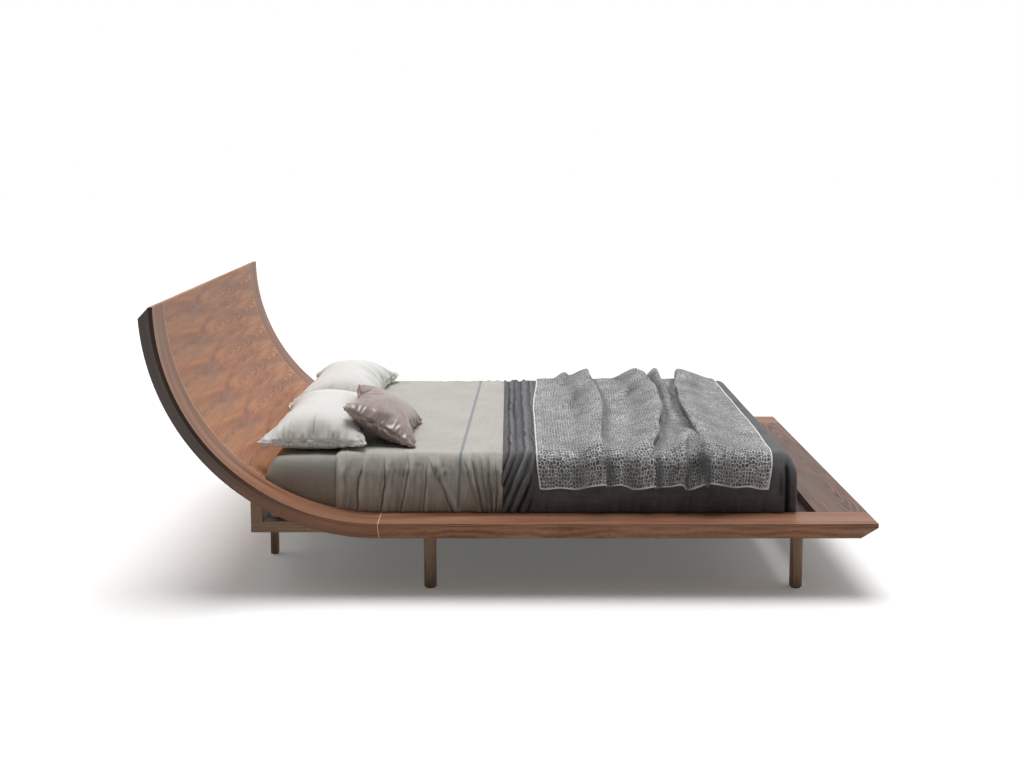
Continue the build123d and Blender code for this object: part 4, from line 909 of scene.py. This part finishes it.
# %% Throw finish
def jacquard(name, scale_size, line, pale, mid, dark, binding):
    """A net of pale lines round scales of one size in metres, with a bound edge. A line is a share of a scale wide."""
    material, tree, shader = new_finish(name, Sheen_Weight=0.2, Sheen_Roughness=0.4, Specular_IOR_Level=0.6)
    place = add(tree, "UVMap")
    wobble = add(tree, "TexNoise", {"Vector": place, "Scale": 1 / 0.05, "Detail": 2.0})
    shift = add(tree, "VectorMath", {0: wobble.node.outputs["Color"], 1: (0.01, 0.01, 0.0), 2: place},
                operation="MULTIPLY_ADD")
    scaled = {"Vector": shift, "Scale": 1 / scale_size, "Randomness": 0.7}
    net = add(tree, "TexVoronoi", scaled, feature="DISTANCE_TO_EDGE", voronoi_dimensions="2D").node.outputs["Distance"]
    cell = add(tree, "TexVoronoi", scaled, feature="F1", voronoi_dimensions="2D").node.outputs["Color"]
    # paler and darker parts, 160 mm wide
    patch = add(tree, "TexNoise", {"Vector": place, "Scale": 1 / 0.16, "Detail": 4.0, "Roughness": 0.6})
    width = add(tree, "MapRange", {"Value": patch, "From Min": 0.35, "From Max": 0.65,
                                   "To Min": line * 0.7, "To Max": line * 1.7})
    lines = add(tree, "MapRange", {"Value": net, "From Min": line * 0.4, "From Max": width,
                                   "To Min": 1.0, "To Max": 0.0})
    own = add(tree, "SeparateColor", {0: cell})  # one grey for each scale
    grey = add(tree, "Mix", {0: 0.7, 2: own, 3: patch})
    scales = add(tree, "ValToRGB", {"Fac": grey}, stops=[(0.42, dark), (0.66, mid)])
    colour = add(tree, "Mix", {0: lines, 6: scales, 7: linear(pale)}, data_type="RGBA")
    # yarn turning dull, in specks of 20 mm
    speck = add(tree, "TexNoise", {"Vector": place, "Scale": 1 / 0.02, "Detail": 2.0, "Roughness": 0.7})
    speck = add(tree, "MapRange", {"Value": speck, "From Min": 0.42, "From Max": 0.6, "To Max": 0.8})
    colour = add(tree, "Mix", {0: speck, 6: colour, 7: linear("#7a7a7b")}, data_type="RGBA", blend_type="MULTIPLY")
    part = add(tree, "SeparateXYZ", {0: place}).node.outputs
    edge = 0.0
    for axis, length in (("X", widest), ("Y", 2 * THROW_HALF)):
        from_middle = add(tree, "Math", {0: part[axis], 1: length / 2}, operation="SUBTRACT")
        from_middle = add(tree, "Math", {0: from_middle}, operation="ABSOLUTE")
        outer = add(tree, "Math", {0: from_middle, 1: length / 2 - binding}, operation="GREATER_THAN")
        edge = add(tree, "Math", {0: edge, 1: outer}, operation="MAXIMUM")
    colour = add(tree, "Mix", {0: edge, 6: colour, 7: linear(pale)}, data_type="RGBA")
    painted_crease_shade = add(tree, "Attribute", attribute_name="painted_crease_shade").node.outputs["Fac"]
    # painted shade: creases and the sides of the rolls are darkened
    colour = add(tree, "Mix", {0: painted_crease_shade, 6: colour, 7: linear("#4a4a4b")}, data_type="RGBA", blend_type="MULTIPLY")
    rough = add(tree, "MapRange", {"Value": lines, "To Min": 0.5, "To Max": 0.36})
    bump = add(tree, "Bump", {"Height": lines, "Strength": 0.5, "Distance": 0.0015})
    close_finish(tree, shader, colour, rough, bump)
    return material


# satin jacquard: bright yarn lines over dull scales, so it sparkles on top and turns to a dark net down the side,
# darkened further there by painted shade
finishes["throw"] = jacquard("satin jacquard", scale_size=0.014, line=0.1, pale="#fafaf9", mid="#8f8f8e",
                             dark="#0c0c0d", binding=0.007)
finish_piece(throw, finishes["throw"], "mattress", "throw")
throw.data.materials.append(finishes["lining"])
# solidify keeps the grid's faces first and adds the other side's after them
half = THROW_COLUMNS * THROW_ROWS
up = sum(throw.data.polygons[index].normal.z for index in range(half)) > 0
for index in range(half if up else 0, 2 * half if up else half):
    throw.data.polygons[index].material_index = 1

# %% [markdown]
# ## Pillows and cushion
# A pillow is two flat cloths sewn together round the rim and stuffed. Nothing bulges like the real thing, so simulated
# cloth does it: two grids joined at the rim, a pressure inside, no weight, and a rim that shrinks a bit, as a seam does.
# Creases that a firm filling would press out are smoothed, and the lower half is pressed flatter. A cord is laid along
# the seam, with short gathers beside it. Then the form is brought to its size and place, and flattened where it rests.

# %% Stuffed forms
CLOTH_FRAMES = 30  # time for a form to fill and settle
GATHER = 0.018  # height of the gathers beside a seam


def stuffed(name, width, length, cell, pressure, smooth, lower, cord):
    """Two cloths sewn at the rim and blown up, lying level round the origin.
    Cell is the size of a face, lower is what is left of the lower half's depth, and cord is the welt's radius."""
    bpy.ops.object.select_all(action="DESELECT")
    bpy.ops.mesh.primitive_grid_add(x_subdivisions=round(width / cell), y_subdivisions=round(length / cell), size=1)
    piece = bpy.context.object
    piece.name = name
    piece.scale = (width, length, 1)
    bpy.ops.object.transform_apply(scale=True)
    modify(piece, "SOLIDIFY", thickness=0.004, offset=0)
    # places on the cut cloth, from -1 to 1 each way
    cut = [(2 * point.co.x / width, 2 * point.co.y / length, point.co.z) for point in piece.data.vertices]
    rim = [index for index, (u, v, z) in enumerate(cut) if max(abs(u), abs(v)) > 0.999]
    seam = {index for index in rim if cut[index][2] > 0}
    piece.vertex_groups.new(name="seam").add(rim, 1.0, "REPLACE")
    for point, (u, v, z) in zip(piece.data.vertices, cut):
        crown = (1 - u * u) * (1 - v * v)
        tremble = 0.002 * fold_noise((point.co.x, point.co.y), 0.03, 0.03, 6.0)
        point.co.z = z + math.copysign(0.03 * crown, z) + tremble * crown
    only(piece)
    bpy.ops.object.modifier_add(type="CLOTH")
    cloth = piece.modifiers[-1]
    settings = {"quality": 5, "mass": 0.2, "tension_stiffness": 25, "compression_stiffness": 25,
                "shear_stiffness": 8, "bending_stiffness": 0.05, "air_damping": 3.0, "use_pressure": True,
                "uniform_pressure_force": pressure, "vertex_group_shrink": "seam", "shrink_max": 0.03}
    for setting, value in settings.items():
        setattr(cloth.settings, setting, value)
    cloth.settings.effector_weights.gravity = 0.0
    cloth.collision_settings.use_collision = False
    cloth.point_cache.frame_end = CLOTH_FRAMES
    for index in range(1, CLOTH_FRAMES + 1):
        scene.frame_set(index)
    bpy.ops.object.modifier_apply(modifier=cloth.name)
    scene.frame_set(1)
    blown = [round(side, 3) for side in piece.dimensions]
    # the filling presses creases out
    modify(piece, "SMOOTH", factor=0.5, iterations=smooth, vertex_group="seam", invert_vertex_group=True)
    for point in piece.data.vertices:
        point.co.z *= lower if point.co.z < 0 else 1.0
    only(piece)
    bpy.ops.object.mode_set(mode="EDIT")
    bpy.ops.mesh.select_mode(type="EDGE")
    bpy.ops.mesh.select_all(action="DESELECT")
    shape = bmesh.from_edit_mesh(piece.data)
    for edge in shape.edges:
        edge.select_set(all(end.index in seam for end in edge.verts))
    bmesh.update_edit_mesh(piece.data)
    bpy.ops.mesh.duplicate()
    bpy.ops.mesh.separate(type="SELECTED")
    bpy.ops.object.mode_set(mode="OBJECT")
    welt = [other for other in bpy.context.selected_objects if other != piece][0]
    modify(piece, "SUBSURF", levels=1, render_levels=1)
    on_cloth = {loop.vertex_index: 2 * corner.uv - Vector((1, 1))
                for loop, corner in zip(piece.data.loops, piece.data.uv_layers[0].data)}
    moves = []
    for point in piece.data.vertices:  # gathers stand up from the seam and soon run out
        u, v = on_cloth[point.index]
        to_side, to_end = (1 - abs(u)) * width / 2, (1 - abs(v)) * length / 2
        beside, run = (to_side, point.co.y) if to_side < to_end else (to_end, point.co.x)
        ridge = pleat(run, 0.03, 17.0 + (u > 0) + 2 * (v > 0), beside * 5)
        moves.append(point.normal * GATHER * ridge * math.exp(-beside / 0.05) * fade(beside, 0.0, 0.015))
    for point, move in zip(piece.data.vertices, moves):
        point.co += move
    mark_crease_shade(piece)
    only(welt)
    bpy.ops.object.convert(target="CURVE")
    welt.data.bevel_depth = cord
    bpy.ops.object.convert(target="MESH")
    only(piece)
    welt.select_set(True)
    bpy.ops.object.join()
    piece.vertex_groups.clear()
    print(name, "blown up to", blown, len(piece.data.polygons), "faces")
    return piece


def fit(piece, size):
    """Brings a form lying round the origin to a size."""
    now = piece.dimensions.copy()
    low = [min(point.co[axis] for point in piece.data.vertices) for axis in range(3)]
    for point in piece.data.vertices:
        point.co = Vector([(point.co[axis] - low[axis] - now[axis] / 2) * size[axis] / now[axis] for axis in range(3)])


CLEAR = 0.001  # what is left between two pieces that touch
PRESSED = 0.96  # how much of its way back to the support a sunken point is lifted


def rest(piece, support):
    """Flattens what would sink below the support's height at its place."""
    for point in piece.data.vertices:
        under = support(point.co) + CLEAR - point.co.z
        if under > 0:
            point.co.z += under * PRESSED


SHEET_TOP = BED_HIGH.z + SHEET_GROWTH
ON_COVER = CLOTH_TOP + 0.0025  # over the cover's low ridges


def pillow_support(place):
    """The sheet's top, and the cover's where the pillow lies on it."""
    lap = fade(place.x, COVER_HEAD - 0.03, COVER_HEAD + 0.01)
    return SHEET_TOP * (1 - lap) + ON_COVER * lap


# %% Pillows
SAG = 0.012  # a pillow is pressed flat by its own weight this far up
SPREAD = Vector((0.01, 0.01, 0))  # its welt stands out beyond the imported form
pillow = stuffed("right_pillow_form", width=0.46, length=0.80, cell=0.0105, pressure=2.4, smooth=30, lower=0.5,
                 cord=0.0025)
only(pillow)
bpy.ops.object.duplicate()
other_pillow = bpy.context.object
other_pillow.name = "left_pillow_form"
other_pillow.data.transform(Matrix.Rotation(math.pi, 4, "Z"))
for name, piece in (("right_pillow", pillow), ("left_pillow", other_pillow)):
    low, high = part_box(name)
    low = Vector((low.x, low.y, SHEET_TOP - SAG))
    fit(piece, high - low + SPREAD)
    piece.data.transform(Matrix.Translation((low + high) / 2))
    rest(piece, pillow_support)
    finish_piece(piece, finishes["pillow"], name, name)

# %% [markdown]
# The cushion leans on the near pillow with its foot edge on the cover. It is tilted, let down a little into the cover
# and flattened there. It starts too close to the head and slides towards the foot until it is just clear of the pillow.

# %% Cushion
def satin(name, dark, light):
    """Smooth cloth with a long soft sheen and faint streaks along the weave."""
    material, tree, shader = new_finish(name, Sheen_Weight=0.3, Sheen_Roughness=0.3, Anisotropic=0.4,
                                        Specular_IOR_Level=0.9)
    place = add(tree, "TexCoord").node.outputs["Object"]
    # streaks 4 mm wide and 80 mm long, and clouds of 80 mm
    streak = add(tree, "Mapping", {"Vector": place, "Scale": (250, 12, 250)})
    streak = add(tree, "TexNoise", {"Vector": streak, "Scale": 1.0, "Detail": 3.0})
    cloud = add(tree, "TexNoise", {"Vector": place, "Scale": 1 / 0.08, "Detail": 2.0})
    mixed = add(tree, "Mix", {0: 0.5, 2: streak, 3: cloud})
    colour = add(tree, "ValToRGB", {"Fac": mixed}, stops=[(0.3, dark), (0.7, light)])
    rough = add(tree, "MapRange", {"Value": mixed, "To Min": 0.24, "To Max": 0.42})
    bump = add(tree, "Bump", {"Height": streak, "Strength": 0.2, "Distance": 0.0006})
    close_finish(tree, shader, colour, rough, bump)
    return material


def surface(piece):
    """A search tree over a piece's faces."""
    faces = [face.vertices for face in piece.data.polygons]
    return BVHTree.FromPolygons([point.co for point in piece.data.vertices], faces)


# taupe satin: a warm brown with bright ridges on its gathers, the only shiny cloth on the bed
finishes["cushion"] = satin("taupe satin", "#7b665f", "#ae9992")
cushion = stuffed("satin_cushion", width=0.37, length=0.53, cell=0.0085, pressure=3.0, smooth=8, lower=0.9, cord=0.002)
CUSHION_SIZE, CUSHION_TILT = (0.32, 0.495, 0.145), math.radians(30)
CUSHION_SINK = 0.008  # how far its foot edge goes into the cover before it is flattened
SLIDE_START, SLIDE_STEP, SLIDE_LIMIT = -0.05, 0.002, 40  # metres along the bed, and the most steps
low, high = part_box("cushion")
fit(cushion, CUSHION_SIZE)
cushion.data.transform(Matrix.Translation((low + high) / 2) @ Matrix.Rotation(CUSHION_TILT, 4, "Y"))
lowest = min(point.co.z for point in cushion.data.vertices)
cushion.data.transform(Matrix.Translation((SLIDE_START, 0, ON_COVER - CUSHION_SINK - lowest)))
rest(cushion, lambda place: ON_COVER)
pillow_surface = surface(pillow)
slid = 0
while surface(cushion).overlap(pillow_surface) and slid < SLIDE_LIMIT:
    cushion.data.transform(Matrix.Translation((SLIDE_STEP, 0, 0)))
    slid += 1
finish_piece(cushion, finishes["cushion"], "cushion", "cushion")
print("cushion:", round(1000 * (SLIDE_START + slid * SLIDE_STEP)), "mm from its packed place along the bed")
